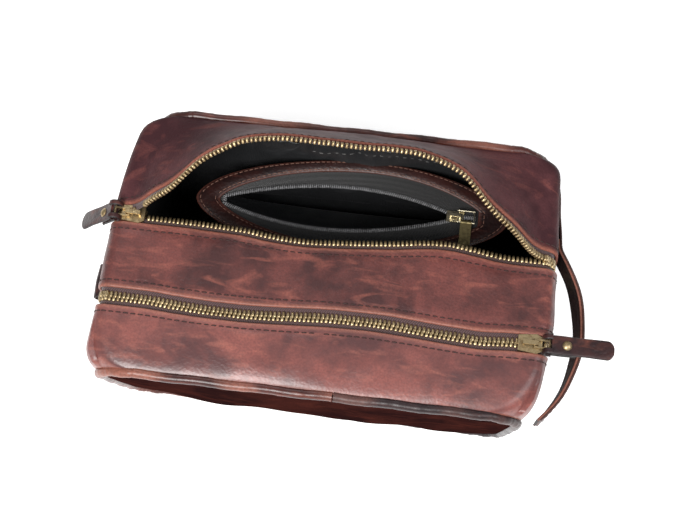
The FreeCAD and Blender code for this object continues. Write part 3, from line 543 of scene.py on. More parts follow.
    def build(self) -> bpy.types.Object:
        """Make the object, with shared corners merged and its faces pointing outwards."""
        mesh = bpy.data.meshes.new(self.name)
        mesh.from_pydata((np.concatenate(self.points) * MM).tolist(), [], self.faces)
        for name, kind, values in (("lay", "FLOAT_VECTOR", np.concatenate(self.lay)),
                                   ("wear", "FLOAT", np.concatenate(self.wear)),
                                   ("edge", "FLOAT", np.concatenate(self.edge))):
            attribute = mesh.attributes.new(name, kind, "POINT")
            attribute.data.foreach_set("vector" if kind == "FLOAT_VECTOR" else "value", values.ravel())
        work = bmesh.new()
        work.from_mesh(mesh)
        bmesh.ops.remove_doubles(work, verts=work.verts, dist=1e-6)
        bmesh.ops.dissolve_degenerate(work, edges=work.edges, dist=1e-7)
        bmesh.ops.recalc_face_normals(work, faces=work.faces)
        work.to_mesh(mesh)
        work.free()
        mesh.shade_smooth()
        mesh.set_sharp_from_angle(angle=math.radians(self.fold_deg))
        mesh.materials.append(self.stuff.material())
        made = bpy.data.objects.new(self.name, mesh)
        bpy.context.scene.collection.objects.link(made)
        return made


def unit(v: Grid) -> Grid:
    """Vectors of length 1 along the last axis."""
    return v / np.maximum(np.linalg.norm(v, axis=-1, keepdims=True), 1e-9)


def normals(grid: Grid, closed: bool = False) -> Grid:
    """Normals of a point grid, from the cross of its row and column directions."""
    rows = (np.roll(grid, -1, 0) - np.roll(grid, 1, 0)) if closed else np.gradient(grid, axis=0)
    return unit(np.cross(rows, np.gradient(grid, axis=1)))


def lengths(grid: Grid, axis: int) -> Grid:
    """Distance run along one axis of a point grid, from its first row or column."""
    steps = np.linalg.norm(np.diff(grid, axis=axis), axis=-1)
    return np.insert(np.cumsum(steps, axis=axis), 0, 0.0, axis=axis)


def prism(rings: int, sides: int) -> list[tuple[int, ...]]:
    """Faces of a capped prism whose corners are listed ring by ring."""
    faces = []
    for i in range(rings - 1):
        a, c = i * sides, (i + 1) * sides
        faces += [(a + j, a + (j + 1) % sides, c + (j + 1) % sides, c + j) for j in range(sides)]
    return faces + [tuple(range(sides))[::-1], tuple((rings - 1) * sides + j for j in range(sides))]


def run_along(path: Grid) -> Grid:
    """Distance run along a path, from its first point."""
    return np.concatenate([[0.0], np.cumsum(np.linalg.norm(np.diff(path, axis=0), axis=1))])


def bulge(x: Grid, middle: float, width: float) -> Grid:
    """A soft bump of height 1 about a middle."""
    return np.exp(-((x - middle) / width) ** 2)


def smooth(t: Grid) -> Grid:
    """Smooth step from 0 to 1."""
    t = np.clip(t, 0.0, 1.0)
    return t * t * (3 - 2 * t)


@dataclass
class Ripple:
    """Soft creases as a sum of plane waves, the same on every run."""

    seed: int
    size: float
    depth: float
    waves: int = 14

    def at(self, p: Grid) -> Grid:
        """Height of the creases at points, in millimetres."""
        rng = np.random.default_rng(self.seed)
        total = np.zeros(p.shape[:-1])
        for _ in range(self.waves):
            way = unit(rng.normal(size=3))
            length = self.size * rng.uniform(0.55, 1.8)
            total += np.sin(p @ way * (2 * math.pi / length) + rng.uniform(0, 6.28)) * (length / self.size)
        return total * self.depth / math.sqrt(self.waves)


# ---- repeated small things ----------------------------------------------------------------------
class Sower:
    """A Geometry Nodes tree that sets one small shape at every point of a row."""

    _tree: Optional[bpy.types.NodeTree] = None

    @classmethod
    def tree(cls) -> bpy.types.NodeTree:
        """The tree, built once, with inputs for the shape, its finish and its unevenness."""
        if cls._tree:
            return cls._tree
        tree = bpy.data.node_groups.new("set along a row", "GeometryNodeTree")
        for name, kind in (("Row", "Geometry"), ("Shape", "Object"), ("Finish", "Material"),
                           ("Uneven", "Float"), ("Seed", "Int")):
            tree.interface.new_socket(name, in_out="INPUT", socket_type=f"NodeSocket{kind}")
        tree.interface.new_socket("Row", in_out="OUTPUT", socket_type="NodeSocketGeometry")
        new, wire = tree.nodes.new, tree.links.new
        source, sink = new("NodeGroupInput"), new("NodeGroupOutput")
        points, info = new("GeometryNodeMeshToPoints"), new("GeometryNodeObjectInfo")
        along, up = new("GeometryNodeInputNamedAttribute"), new("GeometryNodeInputNamedAttribute")
        for reader, name in ((along, "along"), (up, "up")):
            reader.data_type = "FLOAT_VECTOR"
            reader.inputs["Name"].default_value = name
        first, second = new("FunctionNodeAlignRotationToVector"), new("FunctionNodeAlignRotationToVector")
        first.axis, second.axis, second.pivot_axis = "X", "Z", "X"
        wire(along.outputs[0], first.inputs["Vector"])
        wire(first.outputs[0], second.inputs["Rotation"])
        wire(up.outputs[0], second.inputs["Vector"])
        vary = new("FunctionNodeRandomValue")
        vary.data_type = "FLOAT"
        low, high = new("ShaderNodeMath"), new("ShaderNodeMath")
        low.operation, high.operation = "SUBTRACT", "ADD"
        for sum_node in (low, high):
            sum_node.inputs[0].default_value = 1.0
            wire(source.outputs["Uneven"], sum_node.inputs[1])
        wire(low.outputs[0], vary.inputs[2])
        wire(high.outputs[0], vary.inputs[3])
        wire(source.outputs["Seed"], vary.inputs["Seed"])
        setter, real, paint = (new("GeometryNodeInstanceOnPoints"), new("GeometryNodeRealizeInstances"),
                               new("GeometryNodeSetMaterial"))
        wire(source.outputs["Row"], points.inputs["Mesh"])
        wire(points.outputs[0], setter.inputs["Points"])
        wire(source.outputs["Shape"], info.inputs[0])
        wire(info.outputs["Geometry"], setter.inputs["Instance"])
        wire(second.outputs[0], setter.inputs["Rotation"])
        wire(vary.outputs[1], setter.inputs["Scale"])
        wire(setter.outputs[0], real.inputs[0])
        wire(real.outputs[0], paint.inputs["Geometry"])
        wire(source.outputs["Finish"], paint.inputs["Material"])
        wire(paint.outputs[0], sink.inputs[0])
        cls._tree = tree
        return tree

    @classmethod
    def sow(cls, name: str, shape: bpy.types.Object, stuff: Stuff, places: Grid, along: Grid, up: Grid,
            uneven: float = 0.05, seed: int = 1) -> bpy.types.Object:
        """Set a shape at each place and bake the row to one plain mesh.

        Args:
            name: name of the finished piece.
            shape: the small shape, X along the row and Z out of the surface.
            stuff: its finish.
            places: n x 3 positions in millimetres.
            along: n x 3 directions of X.
            up: n x 3 directions of Z.
            uneven: spread of the shapes' sizes.
            seed: seed of that spread.

        Returns:
            The baked object.
        """
        mesh = bpy.data.meshes.new(f"{name} row")
        mesh.from_pydata((places * MM).tolist(), [], [])
        for key, values in (("along", along), ("up", up)):
            mesh.attributes.new(key, "FLOAT_VECTOR", "POINT").data.foreach_set("vector", values.ravel())
        row = bpy.data.objects.new(f"{name} row", mesh)
        bpy.context.scene.collection.objects.link(row)
        modifier = row.modifiers.new("row", "NODES")
        modifier.node_group = cls.tree()
        values = {"Shape": shape, "Finish": stuff.material(), "Uneven": uneven, "Seed": seed}
        for item in cls.tree().interface.items_tree:
            if item.in_out == "INPUT" and item.name in values:
                modifier[item.identifier] = values[item.name]
        bpy.context.view_layer.update()
        baked = bpy.data.meshes.new_from_object(row.evaluated_get(bpy.context.evaluated_depsgraph_get()))
        for attribute in [a.name for a in baked.attributes if a.name in ("along", "up")]:
            baked.attributes.remove(baked.attributes[attribute])
        bpy.data.objects.remove(row)
        bpy.data.meshes.remove(mesh)
        made = bpy.data.objects.new(name, baked)
        baked.name = name
        baked.shade_smooth()
        bpy.context.scene.collection.objects.link(made)
        return made


class Patterns:
    """The small shapes that repeat: teeth, stitches and coil turns. They are removed at the end."""

    def __init__(self) -> None:
        """Build every shape at the origin."""
        self.tooth = self._tooth()
        self.stitch = self._bean("stitch shape", 3.0, 0.72, 0.55)
        self.fine_stitch = self._bean("fine stitch shape", 2.3, 0.45, 0.32)
        self.turn = self._bean("coil turn shape", 2.4, 0.7, 0.7)

    @staticmethod
    def _keep(piece: Piece) -> bpy.types.Object:
        """Build a shape and take it out of the render."""
        made = piece.build()
        made.hide_render = True
        return made

    def _tooth(self) -> bpy.types.Object:
        """A zip tooth: legs over the tape and a rounded, dimpled head. +Y points to the other row."""
        y = np.array([-2.8, -2.5, -1.4, -0.3, 0.5, 0.9])
        half_x = np.array([0.55, 0.80, 0.84, 0.74, 0.68, 0.40])
        half_z = np.array([0.80, 1.15, 1.25, 1.38, 1.25, 0.80])
        points = []
        for b, hx, hz in zip(y, half_x, half_z):
            cut_x, cut_z = hx * 0.7, hz * 0.7
            points += [(-hx, b, -cut_z), (-cut_x, b, -hz), (cut_x, b, -hz), (hx, b, -cut_z),
                       (hx, b, cut_z), (cut_x, b, hz), (-cut_x, b, hz), (-hx, b, cut_z)]
        piece = Piece("tooth shape", Stuff.BRASS)
        piece.add(np.array(points), prism(len(y), 8))
        return self._keep(piece)

    def _bean(self, name: str, length: float, width: float, height: float) -> bpy.types.Object:
        """A thread that dips into the surface at both ends."""
        piece = Piece(name, Stuff.THREAD)
        t = np.linspace(-1, 1, 6)
        path = np.stack([t * length / 2, t * 0.0, height * (1 - t ** 4) - height * 0.9], axis=1)
        side = np.linspace(0, 2 * math.pi, 6, endpoint=False)
        hoop = np.stack([side * 0, np.cos(side) * width / 2, np.sin(side) * width / 2], 1)
        ring = path[:, None] + hoop[None]
        piece.add(ring.reshape(-1, 3), prism(6, 6))
        return self._keep(piece)

    def clear(self) -> None:
        """Remove the shapes once every row is baked."""
        for shape in (self.tooth, self.stitch, self.fine_stitch, self.turn):
            bpy.data.objects.remove(shape)


def even(path: Callable[[Grid], Grid], start: float, end: float, pitch: float, phase: float = 0.5) -> Grid:
    """Parameters that divide a path into equal steps.

    Args:
        path: positions for an array of parameters.
        start: first parameter.
        end: last parameter.
        pitch: step in millimetres.
        phase: share of a step before the first place.

    Returns:
        The parameters.
    """
    t = np.linspace(start, end, 3000)
    run = run_along(path(t))
    return np.interp(np.arange(phase * pitch, run[-1], pitch), run, t)


# ---- the shape of the bag -----------------------------------------------------------------------
@dataclass
class Form:
    """The soft outline that every outer piece lies on."""

    height: float = 130.0
    end_x: float = 126.0
    seam_x: float = 121.5
    seam_y: float = 77.0
    seam_r: tuple[float, float] = (26.0, 20.0)
    end_r: tuple[float, float] = (8.0, 18.0)
    lean: float = 6.0
    lean_x: float = 121.0
    flat_y: float = 10.0
    front_lean: tuple[float, float] = (20.0, 17.0)
    taper: tuple[float, float, float, float] = (8.5, 1.5, 0.0, 9.0)
    piping: float = 2.1
    rear_zip: float = 12.0
    front_zip: float = -37.0
    band_end_z: float = 75.1
    tape_end_z: float = 76.2
    shoulder: tuple[float, float] = (13.0, 32.0)
    droop: float = 2.5
    crown: float = 0.1
    creases: Ripple = field(default_factory=lambda: Ripple(11, 46.0, 0.42))
    dents: Ripple = field(default_factory=lambda: Ripple(23, 15.0, 0.13, 18))

    def loop(self, t: Grid, half_x: float, low: float, high: float, top_r: float,
             base_r: float) -> tuple[Grid, Grid]:
        """A rounded rectangle in X and Z.

        Args:
            t: stations: 0 mid top, 1 to 2 the top corner, 3 to 4 the base corner, 5 mid base, either way.
            half_x: half its length.
            low: its lowest level.
            high: its highest level.
            top_r: radius of its top corners.
            base_r: radius of its base corners.

        Returns:
            X and Z at each station.
        """
        a, s = np.abs(t), np.where(t < 0, -1.0, 1.0)
        top, base = (a - 1) * math.pi / 2, (a - 3) * math.pi / 2
        x = np.select([a <= 1, a <= 2, a <= 3, a <= 4],
                      [a * (half_x - top_r), half_x - top_r + top_r * np.sin(top), half_x + 0 * a,
                       half_x - base_r + base_r * np.cos(base)], (5 - a) * (half_x - base_r))
        z = np.select([a <= 1, a <= 2, a <= 3, a <= 4],
                      [high + 0 * a, high - top_r + top_r * np.cos(top),
                       (high - top_r) + (a - 2) * (low + base_r - high + top_r),
                       low + base_r - base_r * np.sin(base)], low)
        return s * x, z

    def depth(self, z: Grid, side: Grid = 1, x: Grid = 0.0) -> Grid:
        """Half depth between the piping seams at a height; the front leans in more than the back."""
        share = np.clip((self.height - np.asarray(z)) / self.height, 0, 1)
        left, right = self.front_lean
        front = (left + (right - left) * (np.asarray(x) / self.lean_x + 1) / 2) * share ** 1.15
        return self.seam_y - np.where(np.asarray(side) > 0, self.lean * share, front)

    def drawn_in(self, x: Grid, y: Grid) -> Grid:
        """Scale on X that draws the ends in towards the seams, by corner of the bag."""
        back_left, back_right, front_left, front_right = self.taper
        back = np.where(x < 0, back_left, back_right)
        inset = np.where(y > 0, back, np.where(x < 0, front_left, front_right))
        outward = np.clip((np.abs(y) - self.flat_y) / (self.seam_y - self.flat_y), 0, 1)
        return 1 - inset / self.seam_x * outward ** 2

    def seam(self, t: Grid, side: int) -> Grid:
        """Points of a piping seam, side 1 at the back and -1 at the front."""
        top = self.height - self.piping - (self.droop if side < 0 else 0.0)
        x, z = self.loop(t, self.seam_x, self.piping, top, *self.seam_r)
        x = x * self.drawn_in(x, np.full_like(x, self.seam_y * side))
        return np.stack([x, side * self.depth(z, side, x), z], axis=-1)

    def wave(self, x: Grid, y: Grid) -> Grid:
        """How far the zip lines wander from straight."""
        x = np.asarray(x, dtype=float)
        ease = smooth((106 - np.abs(x)) / 25)
        rear = -3.8 * bulge(x, -18, 30) + 4.2 * bulge(x, 62, 24)
        front = 1.3 * np.sin(x / 24 + 0.6) + 1.2 * bulge(x, 20, 45) - 0.6
        return ease * (rear * bulge(y, self.rear_zip, 20) + front * bulge(y, self.front_zip, 18))

    def skin(self, t: Grid, y: Grid, sink: float = 0.0) -> Grid:
        """Points of the outer skin, mouths shut.

        Args:
            t: stations round the bag.
            y: depth, as measured on the flat top.
            sink: distance under the surface.

        Returns:
            The points.
        """
        t, y = np.broadcast_arrays(np.asarray(t, float), np.asarray(y, float))
        p = self._skin(t, y)
        if sink:
            dt, dy, edge = 0.004, 0.4, self.seam_y
            across = self._skin(t, np.clip(y + dy, -edge, edge)) - self._skin(t, np.clip(y - dy, -edge, edge))
            along = self._skin(t + dt, y) - self._skin(t - dt, y)
            p = p - unit(np.cross(along, across)) * sink
        return p

    def _skin(self, t: Grid, y: Grid) -> Grid:
        """The skin itself, without sink."""
        x0, z0 = self.loop(t, self.end_x, 0.0, self.height, *self.end_r)
        top = self.height - self.piping - np.where(y < 0, self.droop, 0.0)
        x1, z1 = self.loop(t, self.seam_x, self.piping, top, *self.seam_r)
        wide = np.where((y < 0) & (np.abs(t) < 1.5), self.shoulder[1], self.shoulder[0])
        inward = np.clip((self.seam_y - np.abs(y)) / wide, 0, 1)
        k = np.sqrt(np.clip(1 - (1 - inward) ** 2, 0, 1))
        x, z = x1 + (x0 - x1) * k, z1 + (z0 - z1) * k
        a = np.abs(t)
        flat = 1 - (y / self.seam_y) ** 2
        lid = smooth((112 - np.abs(x)) / 60) * (a <= 1.2)
        z = z + self.crown * flat * lid
        belly = np.sin(np.clip(z / self.height, 0, 1) * math.pi)
        belly = belly * smooth((a - 1.6) / 0.5) * smooth((4.0 - a) / 0.6)
        x = x + np.sign(t) * 3.0 * flat * belly
        x = x * self.drawn_in(x, y)
        yy = (y + self.wave(x, y) * (a <= 1.3)) * self.depth(z, y, x) / self.seam_y
        p = np.stack([x, yy, z], axis=-1)
        ripple = (self.creases.at(p) + self.dents.at(p)) * np.minimum(1.0, k * 1.1) * smooth(z / 14)
        ripple = ripple * np.where(a < 1.25, 0.35 + 0.65 * smooth((105 - np.abs(x)) / 20), 1.0)
        ways = np.stack([np.sign(t) * smooth((a - 1) / 1.0), 0 * a, 1 - smooth((a - 1) / 1.0)], axis=-1)
        return p + ways * ripple[..., None]

    def station_at(self, z: float) -> float:
        """Station on the end at a height."""
        top_r, base_r = self.end_r
        return 2 + (self.height - top_r - z) / (self.height - top_r - base_r)


FORM = Form()
BAND_END = FORM.station_at(FORM.band_end_z)
TAPE_END = FORM.station_at(FORM.tape_end_z)
STITCH_STEP = 4.1


def stations(start: float, end: float, step: float = 2.2) -> Grid:
    """Stations between two, about a step apart in millimetres, with extra at the corners."""
    t = np.linspace(start, end, 4000)
    x, z = FORM.loop(t, FORM.end_x, 0.0, FORM.height, *FORM.end_r)
    bend = 1.0 + 1.6 * ((np.abs(t) > 1) & (np.abs(t) < 2)) + 0.8 * ((np.abs(t) > 3) & (np.abs(t) < 4))
    run = np.concatenate([[0], np.cumsum(np.hypot(np.diff(x), np.diff(z)) * bend[1:])])
    return np.interp(np.linspace(0, run[-1], max(4, int(run[-1] / step))), run, t)


@dataclass
class Lip:
    """One of the two strips of leather that open, with its turn about the piping seam.

    Slack leather near the ends lets an open lip stand in an even arch.
    """

    side: int
    zip_y: float
    open_deg: float
    start_x: float = 122.0
    end_x: float = 50.0
    hinge_y: float = 76.0
    hinge_z: float = 129.1

    def share(self, x: Grid) -> Grid:
        """How much of the body's turn reaches x."""
        return smooth((self.start_x - np.abs(x)) / (self.start_x - self.end_x))

    def opened(self, p: Grid) -> Grid:
        """Points of the closed skin, carried to where they are at rest."""
        x = np.abs(p[..., 0])
        left = 4.5 * bulge(x, 101, 10) - 5.0 * bulge(x, 57, 15)
        right = 7.5 * bulge(x, 99, 13) - 3.0 * bulge(x, 55, 12)
        slack = np.where(p[..., 0] < 0, left, right)
        turn = self.open_deg * self.share(x) + (slack if self.open_deg else 0.0)
        angle = -self.side * np.radians(turn)
        seam = self.side * self.hinge_y
        y, z = p[..., 1] - seam, p[..., 2] - self.hinge_z
        c, s = np.cos(angle), np.sin(angle)
        return np.stack([p[..., 0], seam + y * c - z * s, self.hinge_z + y * s + z * c], axis=-1)

    def at(self, t: Grid, y: Grid, sink: float = 0.0) -> Grid:
        """A point of the lip at rest, from its station and depth."""
        return self.opened(FORM.skin(t, y, sink))

    def bend(self, piece: bpy.types.Object, body: str, end: int) -> None:
        """Let a finished half follow the lip's body, turning smoothly from its sewn end."""
        level, depth = self.hinge_z * MM, self.side * self.hinge_y * MM
        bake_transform(piece, "root", body, start=(end * self.start_x * MM, depth, level),
                 end=(end * self.end_x * MM, depth, level))


def sewn_row(name: str, surface: Callable[[Grid, Grid], Grid], t0: float, t1: float, depth: float,
             shape: bpy.types.Object) -> bpy.types.Object:
    """A row of stitches on a surface.

    Args:
        name: name of the piece.
        surface: points for stations and depths.
        t0: first station.
        t1: last station.
        depth: depth of the row.
        shape: one stitch.

    Returns:
        The row.
    """
    def path(t: Grid) -> Grid:
        """Points of the row."""
        return surface(t, np.full_like(t, depth))
    t = even(path, t0, t1, STITCH_STEP)
    y = np.full_like(t, depth)
    along = unit(path(t + 0.003) - path(t - 0.003))
    across = unit(surface(t, y + 0.5) - surface(t, y - 0.5))
    up = unit(np.cross(along, across))
    return Sower.sow(name, shape, Stuff.THREAD, path(t), along, up, 0.08, len(name))


def join(name: str, parts: Sequence[bpy.types.Object]) -> bpy.types.Object:
    """Join objects into the first one and rename it."""
    work = bmesh.new()
    for part in parts:
        work.from_mesh(part.data)
    target = parts[0]
    work.to_mesh(target.data)
    work.free()
    for part in parts[1:]:
        bpy.data.objects.remove(part)
    target.name = target.data.name = name
    target.data.shade_smooth()
    return target


def settle(piece: bpy.types.Object, slot: str, body: Optional[str] = None,
           stands_for: Sequence[str] = ()) -> None:
    """Attach a finished piece to its body, hide the solids it stands for and log its face count."""
    if body:
        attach(piece, body)
    if stands_for:
        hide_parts(*stands_for)
    LOG.info("%s: %d faces", piece.name, len(piece.data.polygons))


# ---- body of the bag ----------------------------------------------------------------------------
@dataclass
class Shell:
    """Panels, piping, base, centre band and grip tab."""

    patterns: Patterns
    hide: float = 1.8
    panel_hide: float = 2.0
    panel_swell: float = 4.0
    panel_inset: tuple[float, float] = (2.0, 4.3)
    panel_r: tuple[float, float] = (24.0, 18.0)
    piping_r: float = 2.8
    piping_rest: float = 3.0
    splice_x: float = 12.0
    splice_gap: float = 0.004
    band_rows: tuple[float, float] = (-27.8, 2.9)

    def panel(self, name: str, side: int) -> None:
        """A crowned panel inside its piping."""
        rings = np.insert(np.linspace(0, 1, 34) ** 0.8, 1, 0.004)
        t = np.concatenate([stations(-5, 0, 4.0)[:-1], stations(0, 5, 4.0)[:-1]])
        in_x, in_z = self.panel_inset
        top = FORM.height - in_z - (FORM.droop if side < 0 else 0.0)
        rim_x, rim_z = FORM.loop(t, FORM.seam_x - in_x, in_z, top, *self.panel_r)
        rim_x = rim_x * FORM.drawn_in(rim_x, np.full_like(rim_x, FORM.seam_y * side))
        mid_z = FORM.height / 2
        x = rim_x[:, None] * rings[None]
        z = mid_z + (rim_z - mid_z)[:, None] * rings[None]
        swell = self.panel_swell * (1 - rings[None] ** 2.6) * (0.75 + 0.45 * (1 - z / FORM.height))
        flat = np.stack([x, side * FORM.depth(z, side, x), z], axis=-1)
        crease = Ripple(31 + side, 52.0, 0.85).at(flat) + Ripple(7 + side, 17.0, 0.22, 18).at(flat)
        flat[..., 1] += side * (swell + crease * (1 - rings[None] ** 6))
        piece = Piece(name, Stuff.PANEL)
        piece.slab(flat[::side], self.panel_hide, closed=True, rub=0.1)
        settle(piece.build(), "panel_leather", "root", [name.replace("_skin", "")])

    def piping(self, name: str, side: int, spans: Sequence[tuple[float, float]], stuff: Stuff, slot: str,
               nodes: Sequence[str]) -> None:
        """A covered cord along part of the seam.

        Args:
            name: name of the piece.
            side: 1 at the back, -1 at the front.
            spans: stations of each length, in one run.
            stuff: its hide.
            slot: its material slot, not used.
            nodes: the solids it stands for.
        """
        piece = Piece(name, stuff)
        for start, end in spans:
            t = np.linspace(start, end, int(abs(end - start) * 90))
            path = FORM.seam(t, side)
            path += np.array([0.0, side * 1.0, -0.6]) + np.outer(np.sin(t * 17), [0.0, 0.25, 0.0])
            path[:, 2] = np.maximum(path[:, 2], self.piping_rest)
            r = self.piping_r + 0.05 * np.sin(t * 61) + 0.03 * np.sin(t * 97 + 1)
            piece.tube(path, r, 16)
        made = piece.build()
        wear = made.data.attributes["wear"].data
        place = np.concatenate(piece.points)
        crest = np.clip((Ripple(5, 34.0, 1.0).at(place) + 0.25) * 0.7, 0, 1)
        if len(wear) == len(crest):
            wear.foreach_set("value", crest.astype(float))
        settle(made, slot, "root", nodes)

    def base(self) -> None:
        """The strip that makes the base and the lower ends."""
        t = np.concatenate([stations(-BAND_END, -5, 3.0), stations(5, BAND_END, 3.0)[1:]])
        y = np.concatenate([np.linspace(-76.3, -58, 12), np.linspace(-54, 54, 28), np.linspace(58, 76.3, 12)])
        piece = Piece("base_skin", Stuff.GUSSET)
        piece.slab(FORM.skin(t[:, None], y[None]), self.hide, flip=True)
        settle(piece.build(), "gusset_leather", "root", ["base_gusset", "base_board"])
        rows = []
        for end in (-1, 1):
            def path(u: Grid, end: int = end) -> Grid:
                """Points of the seam across one end."""
                return FORM.skin(np.full_like(u, end * (BAND_END + 0.035)), u, -0.05)
            u = even(path, -70, 70, STITCH_STEP)
            along = unit(path(u + 0.3) - path(u - 0.3))
            rows.append(Sower.sow(f"end seam {end}", self.patterns.stitch, Stuff.THREAD, path(u), along,
                                  np.tile([float(end), 0.0, 0.0], (len(u), 1)), 0.08, 4))
        settle(join("end_seam_stitches", rows), "gusset_leather", "root")

    def band(self) -> None:
        """The band between the zips, over the top and down both ends, with a stitch row by each edge."""
        t = stations(-BAND_END, BAND_END, 1.8)
        y = np.concatenate([[-31.2, -30.6, -29.6], np.linspace(-28.2, 3.5, 21), [4.9, 5.9, 6.5]])
        top = FORM.skin(t[:, None], y[None])
        quilt = sum(bulge(y, row, 1.2) for row in self.band_rows)
        down = normals(top)
        piece = Piece("band_skin", Stuff.BAND)
        piece.slab(top - down * (0.4 * quilt)[None, :, None], self.hide, rub=1.0)
        settle(piece.build(), "band_leather", "root", ["centre_band"])
        rows = [sewn_row(f"band row {i}", lambda a, b: FORM.skin(a, b, 0.15), -BAND_END + 0.03,
                         BAND_END - 0.03, row, self.patterns.stitch) for i, row in enumerate(self.band_rows)]
        settle(join("band_stitches", rows), "band_leather", "root")

    def grip(self) -> None:
        """The folded tab in the left end's seam."""
        turn = np.radians(np.linspace(-90, 90, 13))
        r, level = 2.3, 78
        out = [(-126.5 - 4 * i, level - r) for i in range(3)]
        path = out + [(-137.0 - r * math.cos(a), level + r * math.sin(a)) for a in turn]
        path += [(x, level + r) for x, _ in out[::-1]]
        xz = np.array(path)
        y = np.linspace(-24, -4, 12)
        pinch = 0.3 * np.cos((y + 14) / 10 * math.pi)
        grid = np.stack([np.repeat(xz[:, :1], 12, 1) - 0.5 * pinch[None], np.repeat(y[None], len(xz), 0),
                         np.repeat(xz[:, 1:], 12, 1) + pinch[None]], axis=-1)
        piece = Piece("grip_tab_skin", Stuff.TRIM)
        piece.slab(grid, 1.4, flip=True)
        settle(piece.build(), "trim_leather", "root", ["grip_tab"])

    def build(self) -> None:
        """Make every piece."""
        self.panel("front_panel_skin", -1)
        self.panel("back_panel_skin", 1)
        splice, gap = self.splice_x / (FORM.seam_x - FORM.seam_r[0]), self.splice_gap
        self.piping("back_piping_skin", 1, [(-4.995, 4.995)], Stuff.PIPING, "piping_leather",
                    ["back_piping", "back_piping_cord"])
        self.piping("front_piping_red", -1, [(-4.99, splice - gap)], Stuff.PIPING, "piping_leather",
                    ["front_piping_left", "front_piping_cord"])
        self.piping("front_piping_charcoal", -1, [(splice + gap, 4.99)], Stuff.PIPING_DARK, "piping_dark",
                    ["front_piping_right"])
        self.base()
        self.band()
        self.grip()


